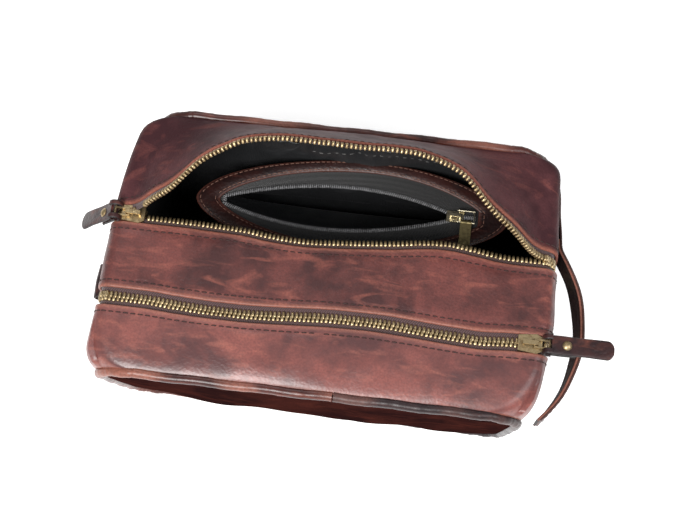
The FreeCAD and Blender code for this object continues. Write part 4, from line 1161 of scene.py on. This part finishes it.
@dataclass
class Mouth:
    """One zipped mouth: its fixed row, its lip in two halves, tapes, teeth and stitches."""

    patterns: Patterns
    name: str
    lip: Lip
    leather_to_zip: float = 5.8
    pitch: float = 2.4
    hide: float = 1.8
    under: float = 2.35
    hem: float = 76.7
    row_in: float = 3.2
    slider_x: float = 113.0

    @property
    def way(self) -> int:
        """1 where the lip lies behind its zip, -1 where it lies in front."""
        return self.lip.side

    def tape(self, name: str, surface: Callable[..., Grid], t: Grid, side: int) -> bpy.types.Object:
        """One side of the tape, from under the leather to the teeth."""
        near, far = self.lip.zip_y + side * 1.6, self.lip.zip_y + side * 13.5
        y = np.linspace(*sorted((near, far)), 9)
        curl = 0.5 * bulge(y, near, 2.5)
        grid = surface(t[:, None], y[None], self.under - 0.4)
        grid = grid - normals(grid) * curl[None, :, None]
        piece = Piece(name, Stuff.TAPE)
        piece.slab(grid, 0.8)
        return piece.build()

    def teeth(self, name: str, surface: Callable[..., Grid], t0: float, t1: float, side: int, phase: float,
              skip: Sequence[tuple[float, float]] = ()) -> bpy.types.Object:
        """A row of teeth on a surface.

        Args:
            name: name of the piece.
            surface: points for stations, depths and sink.
            t0: first station.
            t1: last station.
            side: 1 where the row's tape lies behind the zip line.
            phase: share of a tooth's pitch.
            skip: ranges of X without teeth.

        Returns:
            The row.
        """
        y = self.lip.zip_y

        def path(t: Grid) -> Grid:
            """Points of the zip line."""
            return surface(t, np.full_like(t, y), self.under)
        t = even(path, t0, t1, self.pitch, phase)
        p = path(t)
        for low, high in skip:
            keep = (p[:, 0] < low) | (p[:, 0] > high)
            t, p = t[keep], p[keep]
        along = unit(path(t + 0.004) - path(t - 0.004))
        toward = unit(surface(t, np.full_like(t, y - side * 0.5), self.under) - p)
        up = unit(np.cross(along, toward)) * -side
        return Sower.sow(name, self.patterns.tooth, Stuff.BRASS, p, along * -side, up, 0.04, 3)

    def fixed(self) -> None:
        """The row that stays with the centre band."""
        end = TAPE_END - 0.03
        side = -self.way
        tape = self.tape(f"{self.name}_tape_fixed", FORM.skin, stations(-end, end, 2.2), side)
        settle(tape, "zip_tape", "root", [f"{self.name}_zip_tape_inner"])
        row = self.teeth(f"{self.name}_teeth_fixed", FORM.skin, -end, end, side, 0.5, self.wedge())
        settle(row, "brass", "root", [f"{self.name}_zip_teeth_inner"])

    def wedge(self) -> list[tuple[float, float]]:
        """Where the slider's wedge leaves no room for teeth."""
        nose = (-self.slider_x if self.lip.open_deg else self.slider_x) + 6.5
        return [(nose - 4.6, nose + 1.0)]

    def half(self, end: int) -> None:
        """One half of the lip, from its sewn end to the middle."""
        lip, word = self.lip, "left" if end < 0 else "right"
        body = f"{self.name}_lip"
        edge = lip.zip_y + self.way * self.leather_to_zip
        hem, row_y = self.hem * self.way, edge + self.way * self.row_in
        t = stations(-BAND_END, 0, 1.9) if end < 0 else stations(0, BAND_END, 1.9)
        y = np.concatenate([np.array([0, 0.7, 1.8, 3.2, 5.0]), np.linspace(8, abs(hem - edge) - 9, 12),
                            abs(hem - edge) - np.array([6.5, 4.2, 2.2, 0.8, 0])])
        y = edge + self.way * y
        rest = FORM.skin(t[:, None], y[None])
        quilt = bulge(y - edge, self.way * self.row_in, 1.3)
        rest = rest - (normals(rest) * self.way) * (0.35 * quilt)[None, :, None]
        # The rear half takes the darker hide, which is painted shade; the front half takes the lighter hide,
        # which is painted sheen.
        piece = Piece(f"{self.name}_strip_{word}", Stuff.REAR_STRIP if self.way > 0 else Stuff.STRIP)
        piece.slab(lip.opened(rest), self.hide, flip=self.way < 0, rub=1.0)
        made = piece.build()
        lip.bend(made, body, end)
        settle(made, "band_leather", None,
               [f"{self.name}_corner_{word}"] + ([f"{self.name}_strip"] if end < 0 else []))
        row = sewn_row(f"{self.name}_strip_stitches_{word}", lambda a, b: lip.at(a, b, 0.15),
                       *sorted((end * 0.015, end * (BAND_END - 0.03))), row_y, self.patterns.stitch)
        lip.bend(row, body, end)
        settle(row, "band_leather")
        span = sorted((0.0, end * (TAPE_END - 0.03)))
        tape = self.tape(f"{self.name}_tape_{word}", lip.at, stations(*span, 2.2), self.way)
        lip.bend(tape, body, end)
        settle(tape, "zip_tape", None,
               [f"{self.name}_zip_tape_outer", f"{self.name}_zip_tape_ends"] if end < 0 else [])
        lag = 0.0 if end > 0 else self._left_phase(lip.at, span[0])
        teeth = self.teeth(f"{self.name}_teeth_{word}", lip.at, *span, self.way, lag, self.wedge())
        lip.bend(teeth, body, end)
        settle(teeth, "brass", None,
               [f"{self.name}_zip_teeth_outer", f"{self.name}_zip_teeth_ends"] if end < 0 else [])
        u = stations(-1.0, 0, 2.6) if end < 0 else stations(0, 1.0, 2.6)
        inner = np.linspace(edge + self.way * 0.3, 75.4 * self.way, 21)
        cloth = FORM.skin(u[:, None], inner[None], 3.3)
        pucker = 0.45 * np.sin(cloth[..., 0] / 3.1 + np.sin(cloth[..., 1] / 9) * 1.5)
        cloth[..., 2] += pucker * bulge(inner - edge, self.way * 4, 14)[None]
        lining = Piece(f"{self.name}_strip_lining_{word}", Stuff.LINING)
        lining.slab(lip.opened(cloth), 0.5, flip=self.way < 0)
        made = lining.build()
        lip.bend(made, body, end)
        settle(made, "lining", None, [f"{self.name}_strip_lining"] if end < 0 else [])

    def _left_phase(self, surface: Callable[..., Grid], start: float) -> float:
        """The phase that keeps the left half's teeth in step with the right half's at the middle."""
        t = np.linspace(start, 0, 3000)
        path = surface(t, np.full_like(t, self.lip.zip_y), self.under)
        run = np.linalg.norm(np.diff(path, axis=0), axis=1).sum()
        return (run / self.pitch) % 1.0 or 1.0

    def build(self) -> None:
        """Make every piece."""
        self.fixed()
        for end in (-1, 1):
            self.half(end)


# ---- pulls and handle ---------------------------------------------------------------------------
@dataclass
class Pull:
    """A folded and riveted leather pull on its slider's wire link."""

    name: str
    bar: tuple[float, float, float]
    way: int
    drop_deg: float = 0.0
    length: float = 34.0
    width: float = 9.5
    leather: float = 1.6
    gap: float = 0.8

    def layer(self, piece: Piece, start: float, end: float, top: bool, tip: float) -> None:
        """One leaf of the fold.

        Args:
            piece: the piece to add to.
            start: distance of its near end from the bar.
            end: distance of its far end.
            top: whether it is the upper leaf.
            tip: radius of its rounded end, or 0.
        """
        u = np.concatenate([np.linspace(start, end - tip, 22),
                            end - tip + tip * np.sin(np.linspace(0.12, 1.5, 12))])
        half = np.full_like(u, self.width / 2)
        if tip:
            past = np.clip((u - (end - tip)) / tip, 0, 1)
            half = self.width / 2 - tip + tip * np.sqrt(np.clip(1 - past ** 2, 0.0, 1))
        half = half * (1 + 0.02 * np.sin(u / 3.7))
        v = np.array([-1, -0.93, -0.8, -0.5, 0, 0.5, 0.8, 0.93, 1.0])
        w = (self.gap + self.leather) + 0.35 * np.sin((u - 6) / 9.0) * smooth((u - 12) / 10)
        press = 0.30 * np.exp(-((u[:, None] - 9) ** 2 + (half[:, None] * v[None]) ** 2) / 9.0)
        edge = 0.25 * np.abs(v) ** 6
        height = w[:, None] - press - edge[None]
        grid = np.stack([np.repeat(u[:, None], len(v), 1), half[:, None] * v[None],
                         height if top else -height], axis=-1)
        self.place(piece, grid, flip=not top)

    def place(self, piece: Piece, grid: Grid, flip: bool) -> None:
        """Move a grid from the pull's own frame to the bag's and add it as a slab."""
        out = grid.copy()
        out[..., 0] *= self.way
        piece.slab(out + np.array(self.bar), self.leather, flip=flip != (self.way < 0), rub=0.8)

    def build(self) -> None:
        """Make the pull."""
        piece = Piece(f"{self.name}_skin", Stuff.TRIM)
        self.layer(piece, 0.9, self.length, True, 3.6)
        self.layer(piece, 0.9, 14.0, False, 0.0)
        turn = np.radians(np.linspace(84, 276, 15))
        r = self.gap + self.leather
        for side in (-1, 1):
            v = side * np.linspace(3.1, self.width / 2, 5)[::side]
            x = np.concatenate([[1.2], r * np.cos(turn), [1.2]])
            z = np.concatenate([[r], r * np.sin(turn), [-r]])
            grid = np.stack([np.repeat(x[:, None], 5, 1), np.repeat(v[None], len(x), 0),
                             np.repeat(z[:, None], 5, 1)], axis=-1)
            self.place(piece, grid, flip=False)
        piece.turned(self.bar, (0, 1, 0), -self.drop_deg if self.way < 0 else self.drop_deg)
        settle(piece.build(), "trim_leather", self.name, [self.name])


@dataclass
class Handle:
    """The strap on the right end: bowed out at the front, flat and sewn down at the back."""

    patterns: Patterns
    middle_y: float = -18.5
    half: float = 53.5
    reach: float = 20.0
    level: float = 97.0
    width: float = 15.0
    leather: float = 1.4
    tab_y: tuple[float, float] = (35.0, 74.0)
    row_v: float = 0.76

    def path(self, y: Grid) -> Grid:
        """X of the strap's outer face at a depth."""
        r = (self.half ** 2 + self.reach ** 2) / (2 * self.reach)
        bow = 126 + self.reach - r + np.sqrt(np.clip(r * r - (y - self.middle_y) ** 2, 0, None))
        flat = np.clip(y * FORM.seam_y / FORM.depth(self.level, y, 120.0), -76.5, 76.5)
        skin = FORM.skin(np.full_like(y, FORM.station_at(self.level)), flat)[..., 0]
        floor = skin + 2 * self.leather + 0.3
        return floor + np.logaddexp(0, (bow - floor) / 0.8) * 0.8

    def face(self, y: Grid, v: Grid, sink: float = 0.0) -> Grid:
        """Points of the outer face, v from -1 at the lower edge to 1 at the upper one."""
        y, v = np.broadcast_arrays(np.asarray(y, float), np.asarray(v, float))
        out = (self.path(y) - 128.8) / self.reach
        lean = np.clip(out, 0, 1)
        x = self.path(y) - sink + 1.1 * v * lean
        z = self.level + self.width / 2 * v * (1 - 0.06 * lean) - 1.8 * lean + 0.5 * np.sin(y / 16)
        return np.stack([x + 0.2 * np.sin(y / 5.0 + v), y, z], axis=-1)

    def strip(self, name: str, y: Grid, sink: float, stuff: Stuff) -> Piece:
        """A length of one layer."""
        v = np.array([-1, -0.95, -0.85, -0.6, -0.3, 0, 0.3, 0.6, 0.85, 0.95, 1.0])
        quilt = 0.25 * bulge(np.abs(v), self.row_v, 0.10)
        grid = self.face(y[:, None], v[None], sink)
        grid[..., 0] -= quilt[None]
        piece = Piece(name, stuff)
        piece.slab(grid, self.leather, rub=1.1)
        return piece

    def build(self) -> None:
        """Make both layers and the stitches, in halves that meet at the middle of the bow."""
        low, high = self.tab_y
        ends = {"front": (self.middle_y - self.half - 0.8, self.middle_y), "back": (self.middle_y, low)}
        for word, (y0, y1) in ends.items():
            y = np.linspace(y0, y1, 50)
            sewn, free = (y0, -60.0) if word == "front" else (y1, 23.0)
            pieces = [(self.strip(f"handle_outer_{word}", y, 0.0, Stuff.STRAP).build(), "trim_leather",
                       ["handle_outer_layer", f"handle_end_{word}"]),
                      (self.strip(f"handle_inner_{word}", y, self.leather + 0.02, Stuff.STRAP_BACK).build(),
                       "handle_lining", ["handle_inner_layer"])]
            pieces.append((self.stitches(f"handle_stitches_{word}", y0 + 2, y1 - 1), "trim_leather", []))
            for made, slot, nodes in pieces:
                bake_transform(made, "root", "handle", start=(0.127, sewn * MM, 0.097),
                         end=(0.127, free * MM, 0.097))
                settle(made, slot, None, nodes)
        tab = self.strip("handle_tab_skin", np.linspace(low, high, 24), 0.0, Stuff.STRAP)
        settle(tab.build(), "trim_leather", "root", ["handle_tab"])
        settle(self.stitches("handle_tab_stitches", low + 1, high - 1), "trim_leather", "root")

    def stitches(self, name: str, y0: float, y1: float) -> bpy.types.Object:
        """Rows near both edges of the outer face."""
        rows = []
        for v in (-self.row_v, self.row_v):
            def path(y: Grid, v: float = v) -> Grid:
                """Points of one row along the strap."""
                return self.face(y, np.full_like(y, v), 0.2)
            y = even(path, y0, y1, 3.8)
            along = unit(path(y + 0.2) - path(y - 0.2))
            out = np.cross(along, np.tile([0.0, 0.0, 1.0], (len(y), 1)))
            rows.append(Sower.sow(f"{name} {v}", self.patterns.stitch, Stuff.THREAD, path(y), along, out,
                                  0.08, 5))
        return join(name, rows)


# ---- inside -------------------------------------------------------------------------------------
@dataclass
class Lining:
    """A compartment's cloth tub, slack and puckered, with its rim sewn in under the zip."""

    name: str
    front: Callable[[Grid], Grid]
    back: Callable[[Grid], Grid]
    seed: int
    half_x: float = 120.6
    floor: float = 3.8
    rim: float = 124.5
    corner: float = 15.0
    cloth: float = 0.7
    count: int = 360
    power: float = 0.16

    def outline(self) -> tuple[Grid, Grid, Grid]:
        """A box with soft corners, one unit each way, in even steps, and the run along it."""
        turn = np.linspace(0, 2 * math.pi, 20001)
        c, s = np.cos(turn), np.sin(turn)
        x, y = np.sign(c) * np.abs(c) ** self.power, np.sign(s) * np.abs(s) ** self.power
        run = np.concatenate([[0], np.cumsum(np.hypot(np.diff(x) * self.half_x, np.diff(y) * 30))])
        at = np.linspace(0, run[-1], self.count + 1)[:-1]
        return np.interp(at, run, x), np.interp(at, run, y), at

    def mark(self, patterns: Patterns, p: Grid, level: float, x0: float, x1: float) -> None:
        """A loose row of pale stitches on the back wall, where the pocket is caught.

        Args:
            patterns: the small shapes.
            p: points of the tub, columns from the floor up.
            level: height of the row.
            x0: its left end.
            x1: its right end.
        """
        wall = p[(p[:, -1, 0] > x0) & (p[:, -1, 0] < x1) & (p[:, -1, 1] > self.back(self.rim) - 9)]
        wall = wall[np.argsort(wall[:, -1, 0])]
        heights = level + 2.2 * np.sin(wall[:, -1, 0] / 13.0)
        line = np.array([[np.interp(h, w[-30:, 2], w[-30:, i]) for i in range(3)]
                         for w, h in zip(wall, heights)])
        line[:, 1] -= 0.5
        run = run_along(line)
        at = np.arange(2.0, run[-1] - 4, 4.6)
        places, after = (np.stack([np.interp(at + d, run, line[:, i]) for i in range(3)], 1)
                         for d in (0.0, 1.5))
        row = Sower.sow(f"{self.name}_stitches", patterns.stitch, Stuff.PALE_THREAD, places,
                        unit(after - places), np.tile([0.0, -1.0, 0.0], (len(at), 1)), 0.12, 5)
        settle(row, "lining", "root")

    def build(self, patterns: Patterns) -> None:
        """Make the tub from the middle of its floor, out to the walls and up."""
        across, deep, run = self.outline()
        flat = np.linspace(0.02, 1, 14)[:-1]
        sweep = np.radians(np.linspace(0, 90, 8))
        wall = np.linspace(self.floor + self.corner, self.rim, 46)[1:]
        z = np.concatenate([flat * 0 + self.floor, self.floor + self.corner * (1 - np.cos(sweep)), wall])
        inset = np.concatenate([flat * 0, self.corner * (1 - np.sin(sweep)), wall * 0])
        scale = np.concatenate([flat, sweep * 0 + 1, wall * 0 + 1])
        inset[:len(flat)] = self.corner
        front, back = self.front(z), self.back(z)
        mid, half_y = (front + back) / 2, (back - front) / 2
        x = across[:, None] * (self.half_x - inset)[None] * scale[None]
        y = deep[:, None] * (half_y - inset)[None] * scale[None]
        p = np.stack([x, mid[None] + y, np.repeat(z[None], self.count, 0)], axis=-1)
        inward = unit(np.stack([-x / self.half_x, -y / np.maximum(half_y, 1)[None], 0 * x], axis=-1))
        rise = smooth((z - 20) / 60)[None]
        fold = Ripple(self.seed, 34.0, 1.5).at(p) + Ripple(self.seed + 1, 12.0, 0.45, 20).at(p)
        gather = 0.5 * np.sin(run[:, None] / 1.6 + fold) * smooth((z - 108) / 14)[None]
        push = np.clip(1.4 + fold, 0.0, 4.5) * rise + gather
        p = p + inward * push[..., None]
        p[..., 0] *= FORM.drawn_in(p[..., 0], p[..., 1])
        p[..., 2] += (Ripple(self.seed + 2, 30.0, 0.7).at(p) * (1 - rise))
        piece = Piece(f"{self.name}_skin", Stuff.LINING)
        piece.slab(p, self.cloth, closed=True)
        settle(piece.build(), "lining", "root", [self.name])
        if self.back(self.rim) > 0:
            self.mark(patterns, p, 114.0, -22.0, 62.0)


@dataclass
class Pocket:
    """The zipped inner pocket, standing open: leather frame, tape, coil and pouch."""

    patterns: Patterns
    middle_x: float = 7.0
    half_x: float = 92.0
    level: float = 101.0
    left_y: float = 38.0
    right_y: float = 44.0
    rib: float = 9.0
    slider_x: float = 61.0
    slot_in: tuple[float, float] = (13.5, 17.0)
    row_share: tuple[float, float] = (0.17, 0.83)
    count: int = 120

    def mid(self, x: Grid) -> Grid:
        """Depth of the pocket's middle line at x from the pocket's middle."""
        return self.left_y + (x + self.half_x) / (2 * self.half_x) * (self.right_y - self.left_y)

    def ring(self, x0: float, x1: float, front: Callable[[Grid], Grid],
             rear: Callable[[Grid], Grid]) -> Grid:
        """A closed loop round the mouth.

        Args:
            x0: its left end.
            x1: its right end.
            front: reach in front of the middle line, by x.
            rear: reach behind it, by x.

        Returns:
            Its points, level.
        """
        a = np.linspace(0, math.pi, self.count)
        x = (x0 + x1) / 2 - (x1 - x0) / 2 * np.cos(a)
        near = np.stack([x, self.mid(x) - front(x)], 1)
        far = np.stack([x, self.mid(x) + rear(x)], 1)[::-1]
        flat = np.concatenate([near[:-1], far[:-1]])
        return np.stack([flat[:, 0] + self.middle_x, flat[:, 1], self.height(flat)], axis=1)

    def height(self, flat: Grid) -> Grid:
        """Level of the frame, with a soft dip at the front and a rise at the back."""
        return self.level + 0.9 * np.sin(flat[:, 0] / 21.0) + (flat[:, 1] - 41.0) * 0.06

    def bow(self, x: Grid) -> Grid:
        """Share of the full bow at x."""
        return np.clip(1 - (np.abs(x) / self.half_x) ** 2.2, 0, 1)

    def end(self, x: Grid, reach: float, half: float) -> Grid:
        """Half height of a rounded end."""
        return reach * np.sqrt(np.clip(1 - (np.abs(x) / half) ** 9, 0.0, 1))

    def rim(self, reach: float) -> Callable[[Grid], Grid]:
        """Half width of the leather frame by x."""
        return lambda x: self.end(x, self.rib, self.half_x) + reach * self.bow(x)

    def cut(self, reach: float) -> Callable[[Grid], Grid]:
        """Half width of the slot in the frame by x."""
        return lambda x: (self.end(x, 4.2, self.half_x - self.slot_in[0])
                          + np.clip(reach * self.bow(x * 1.16) - 0.3, 0, None))

    def build(self) -> None:
        """Make every piece."""
        h = self.half_x
        outer = self.ring(-h, h, self.rim(20), self.rim(21))
        slot = self.ring(-h + self.slot_in[0], h - self.slot_in[1], self.cut(18.5), self.cut(19.5))
        open_end = self.slider_x + 2.0

        def mouth(reach: float) -> Callable[[Grid], Grid]:
            """Half width of the open mouth by x, closing at the slider."""
            return lambda x: 0.4 + reach * np.clip(1 - (np.abs(x + 9.0) / (open_end + 9.0)) ** 2.0, 0, 1)
        coil = self.ring(-h + 16.5, open_end, mouth(13.0), mouth(13.5))
        v = np.array([0, 0.04, 0.12, 0.25, 0.42, 0.6, 0.76, 0.88, 0.96, 1.0])
        crown = np.sin(v * math.pi) ** 0.7 - 0.3 * sum(bulge(v, share, 0.05) for share in self.row_share)
        frame = outer[:, None] * (1 - v)[None, :, None] + slot[:, None] * v[None, :, None]
        frame[..., 2] += 0.9 + crown[None]
        pieces = []
        piece = Piece("pocket_frame_skin", Stuff.FRAME)
        piece.slab(frame, 1.5, closed=True, rub=0.8)
        pieces.append((piece, "pocket_leather", ["pocket_trim"]))
        w = np.linspace(0, 1, 9)
        tape = (slot + (outer - slot) * 0.35)[:, None] * (1 - w)[None, :, None]
        tape = tape + coil[:, None] * w[None, :, None]
        tape[..., 2] -= (0.5 + 0.6 * np.sin(w * math.pi) - 0.3 * w)[None]
        piece = Piece("pocket_tape_skin", Stuff.NYLON_TAPE)
        piece.slab(tape, 0.6, closed=True)
        pieces.append((piece, "nylon_tape", ["pocket_zip_tape"]))
        depth = np.linspace(0, 1, 30)
        lip = slot + (outer - slot) * 0.8
        middle = np.stack([lip[:, 0], self.mid(lip[:, 0] - self.middle_x)], 1)
        narrow = 1 - 0.86 * depth ** 1.25
        x = middle[:, :1] * (1 - 0.06 * depth)[None] + self.middle_x * 0.06 * depth[None]
        y = middle[:, 1:] * (1 - depth)[None] + 64.0 * depth[None]
        y = y + (lip[:, 1:2] - middle[:, 1:]) * narrow[None]
        z = (lip[:, 2:] - 0.9) * (1 - depth)[None] + 48.5 * depth[None]
        pouch = np.stack([x, y, z], axis=-1)
        slack = Ripple(71, 26.0, 0.9).at(pouch) + Ripple(72, 9.0, 0.3).at(pouch)
        slack = slack * np.sin(depth * math.pi)[None]
        pouch += normals(pouch, True) * slack[..., None]
        piece = Piece("pocket_pouch_skin", Stuff.LINING)
        piece.slab(pouch, 0.6, closed=True)
        pieces.append((piece, "lining", ["pocket_pouch_front", "pocket_pouch_rear"]))
        for piece, slot_name, nodes in pieces:
            self.soften(piece.build(), slot_name, nodes)
        rows = []
        for i, share in enumerate(self.row_share):
            line = outer * (1 - share) + slot * share
            rows.append(self.row(f"pocket row {i}", line + np.array([0, 0, 1.55]), 3.1,
                                 self.patterns.fine_stitch, Stuff.POCKET_THREAD))
        self.soften(join("pocket_stitches", rows), "pocket_leather", [])
        turn = self.patterns.turn
        turns = [self.row("pocket coil open", coil + np.array([0, 0, 0.45]), 1.2, turn, Stuff.COIL, True)]
        x = np.linspace(self.slider_x + 3.5, h - 18.0, 13)
        for side in (-0.7, 0.7):
            shut = np.stack([x + self.middle_x, self.mid(x) + side, x * 0 + self.level + 0.9], axis=1)
            turns.append(self.row(f"pocket coil shut {side}", shut, 1.05, turn, Stuff.COIL, True, False))
        self.soften(join("pocket_coil_skin", turns), "nylon_coil", ["pocket_zip_coil"])

    def row(self, name: str, line: Grid, pitch: float, shape: bpy.types.Object, stuff: Stuff,
            across: bool = False, closed: bool = True) -> bpy.types.Object:
        """Small shapes set along a line, or across it.

        Args:
            name: name of the piece.
            line: points of the line.
            pitch: step in millimetres.
            shape: the small shape.
            stuff: its finish.
            across: whether the shapes lie across the line.
            closed: whether the line joins its start.

        Returns:
            The row.
        """
        path = np.concatenate([line, line[:1]]) if closed else line
        run = run_along(path)
        at = np.arange(0, run[-1] - pitch / 2, pitch)

        def point(s: Grid) -> Grid:
            """Points at distances along the line."""
            s = s % run[-1] if closed else s
            return np.stack([np.interp(s, run, path[:, i]) for i in range(3)], axis=1)
        along = unit(point(at + 0.4) - point(at - 0.4) + 1e-6)
        up = np.tile([0.0, 0.0, 1.0], (len(at), 1))
        if across:
            along = unit(np.cross(up, along) + 0.25 * along)
        return Sower.sow(name, shape, stuff, point(at), along, up, 0.05, 9)

    @staticmethod
    def soften(made: bpy.types.Object, slot: str, nodes: Sequence[str]) -> None:
        """Attach a finished piece to the root body, give it its own mesh and hide the solids it stands for.
        """
        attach(made, "root")
        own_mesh(made)
        settle(made, slot, None, nodes)


# ---- metal and hidden solids that keep their own shape -------------------------------------------
@dataclass(frozen=True)
class Dressing:
    """A finish for solids whose shape is right as it is."""

    stuff: Stuff
    nodes: tuple[str, ...]

    def apply(self, solids: dict[str, bpy.types.Object]) -> None:
        """Put the finish on every solid."""
        for name in self.nodes:
            data = solids[name].data
            data.materials.clear()
            data.materials.append(self.stuff.material())
            LOG.info("%s: %s", name, self.stuff.value.name)


DRESSINGS = (
    Dressing(Stuff.BRASS, ("rear_slider", "front_slider", "rear_pull_link", "front_pull_link",
                           "rear_pull_rivet", "front_pull_rivet", "rear_zip_stops", "front_zip_stops")),
    Dressing(Stuff.PALE, ("pocket_slider", "pocket_pull_ring")),
    Dressing(Stuff.OLIVE, ("pocket_pull_tab",)),
    Dressing(Stuff.CORD, ("back_piping_cord", "front_piping_cord")),
    Dressing(Stuff.BOARD, ("base_board", "divider_board")),
)


# ---- studio -------------------------------------------------------------------------------------
@dataclass
class Studio:
    """A plain pale floor, soft lights and the camera."""

    target: tuple[float, float, float] = (0.0033, 0.0120, 0.095)
    azimuth: float = 9.07
    elevation: float = 69.94
    roll: float = -2.09
    distance: float = 0.650
    lens: float = 58.7

    def floor(self) -> None:
        """A plain pale floor."""
        mesh = bpy.data.meshes.new("floor")
        s, low = 3.0, -0.0002
        corners = [(-s, -s, low), (s, -s, low), (s, s, low), (-s, s, low)]
        mesh.from_pydata(corners, [], [(0, 1, 2, 3)])
        b = Bench("white paper")
        tooth = b.noise(b.place(), 300.0, 3.0)
        mesh.materials.append(b.finish(Base_Color=(0.93, 0.93, 0.93, 1.0), Roughness=0.9 - tooth * 0.05,
                                       Emission_Color=(1.0, 1.0, 1.0, 1.0), Emission_Strength=0.45))
        made = bpy.data.objects.new("floor", mesh)
        bpy.context.scene.collection.objects.link(made)

    def light(self, name: str, place: Sequence[float], size: float, power: float,
              colour: Sequence[float]) -> None:
        """A square soft light aimed at the bag.

        Args:
            name: name of the light.
            place: where it stands, in metres.
            size: its side in metres.
            power: its power in watts.
            colour: its colour.
        """
        data = bpy.data.lights.new(name, "AREA")
        data.size, data.energy, data.color = size, power, colour
        made = bpy.data.objects.new(name, data)
        made.location = place
        made.rotation_euler = (Vector((0, 0, 0.08)) - Vector(place)).to_track_quat("-Z", "Y").to_euler()
        bpy.context.scene.collection.objects.link(made)

    def camera(self) -> None:
        """The camera, looking down from the front with a slight roll."""
        az, el = math.radians(self.azimuth), math.radians(self.elevation)
        away = Vector((math.sin(az) * math.cos(el), -math.cos(az) * math.cos(el), math.sin(el)))
        data = bpy.data.cameras.new("camera")
        data.lens, data.sensor_width, data.clip_start = self.lens, 36.0, 0.01
        made = bpy.data.objects.new("camera", data)
        made.location = Vector(self.target) + away * self.distance
        turn = (-away).to_track_quat("-Z", "Y").to_matrix() @ Matrix.Rotation(math.radians(self.roll), 3, "Z")
        made.rotation_euler = turn.to_euler()
        bpy.context.scene.collection.objects.link(made)
        bpy.context.scene.camera = made

    def build(self) -> None:
        """Set everything up."""
        self.floor()
        self.light("key", (-0.30, -0.80, 1.15), 0.55, 22.0, (1.0, 0.985, 0.97))
        self.light("fill", (0.75, -0.35, 1.0), 0.7, 6.0, (0.96, 0.98, 1.0))
        self.light("back", (-0.3, 0.9, 1.2), 0.6, 3.0, (1.0, 1.0, 1.0))
        world = bpy.data.worlds.new("studio")
        world.use_nodes = True
        world.node_tree.nodes["Background"].inputs[0].default_value = (1.0, 1.0, 1.0, 1.0)
        world.node_tree.nodes["Background"].inputs[1].default_value = 0.38
        bpy.context.scene.world = world
        bpy.context.scene.view_settings.view_transform = "Standard"
        self.camera()


def main() -> None:
    """Load the frame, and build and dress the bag."""
    logging.basicConfig(level=logging.INFO, format="%(name)s: %(message)s")
    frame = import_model()
    patterns = Patterns()
    Shell(patterns).build()
    rear, front = Lip(1, FORM.rear_zip, 60.0), Lip(-1, FORM.front_zip, 0.0)
    for name, lip in (("rear", rear), ("front", front)):
        Mouth(patterns, name, lip).build()
    Lining("rear_lining", lambda z: -11.1 + 0 * z, lambda z: FORM.depth(z) - 2.9, 41).build(patterns)
    Lining("front_lining", lambda z: 3.4 - FORM.depth(z, -1, -FORM.lean_x), lambda z: -12.9 + 0 * z,
           47).build(patterns)
    Pocket(patterns).build()
    bar_x, bar_z = 123.3, 131.6
    Pull("rear_pull", (-bar_x, FORM.rear_zip, bar_z), -1, 48.0).build()
    Pull("front_pull", (bar_x, FORM.front_zip, bar_z), 1).build()
    Handle(patterns).build()
    patterns.clear()
    for dressing in DRESSINGS:
        dressing.apply(frame["nodes"])
    Studio().build()


if __name__ == "__main__":
    main()
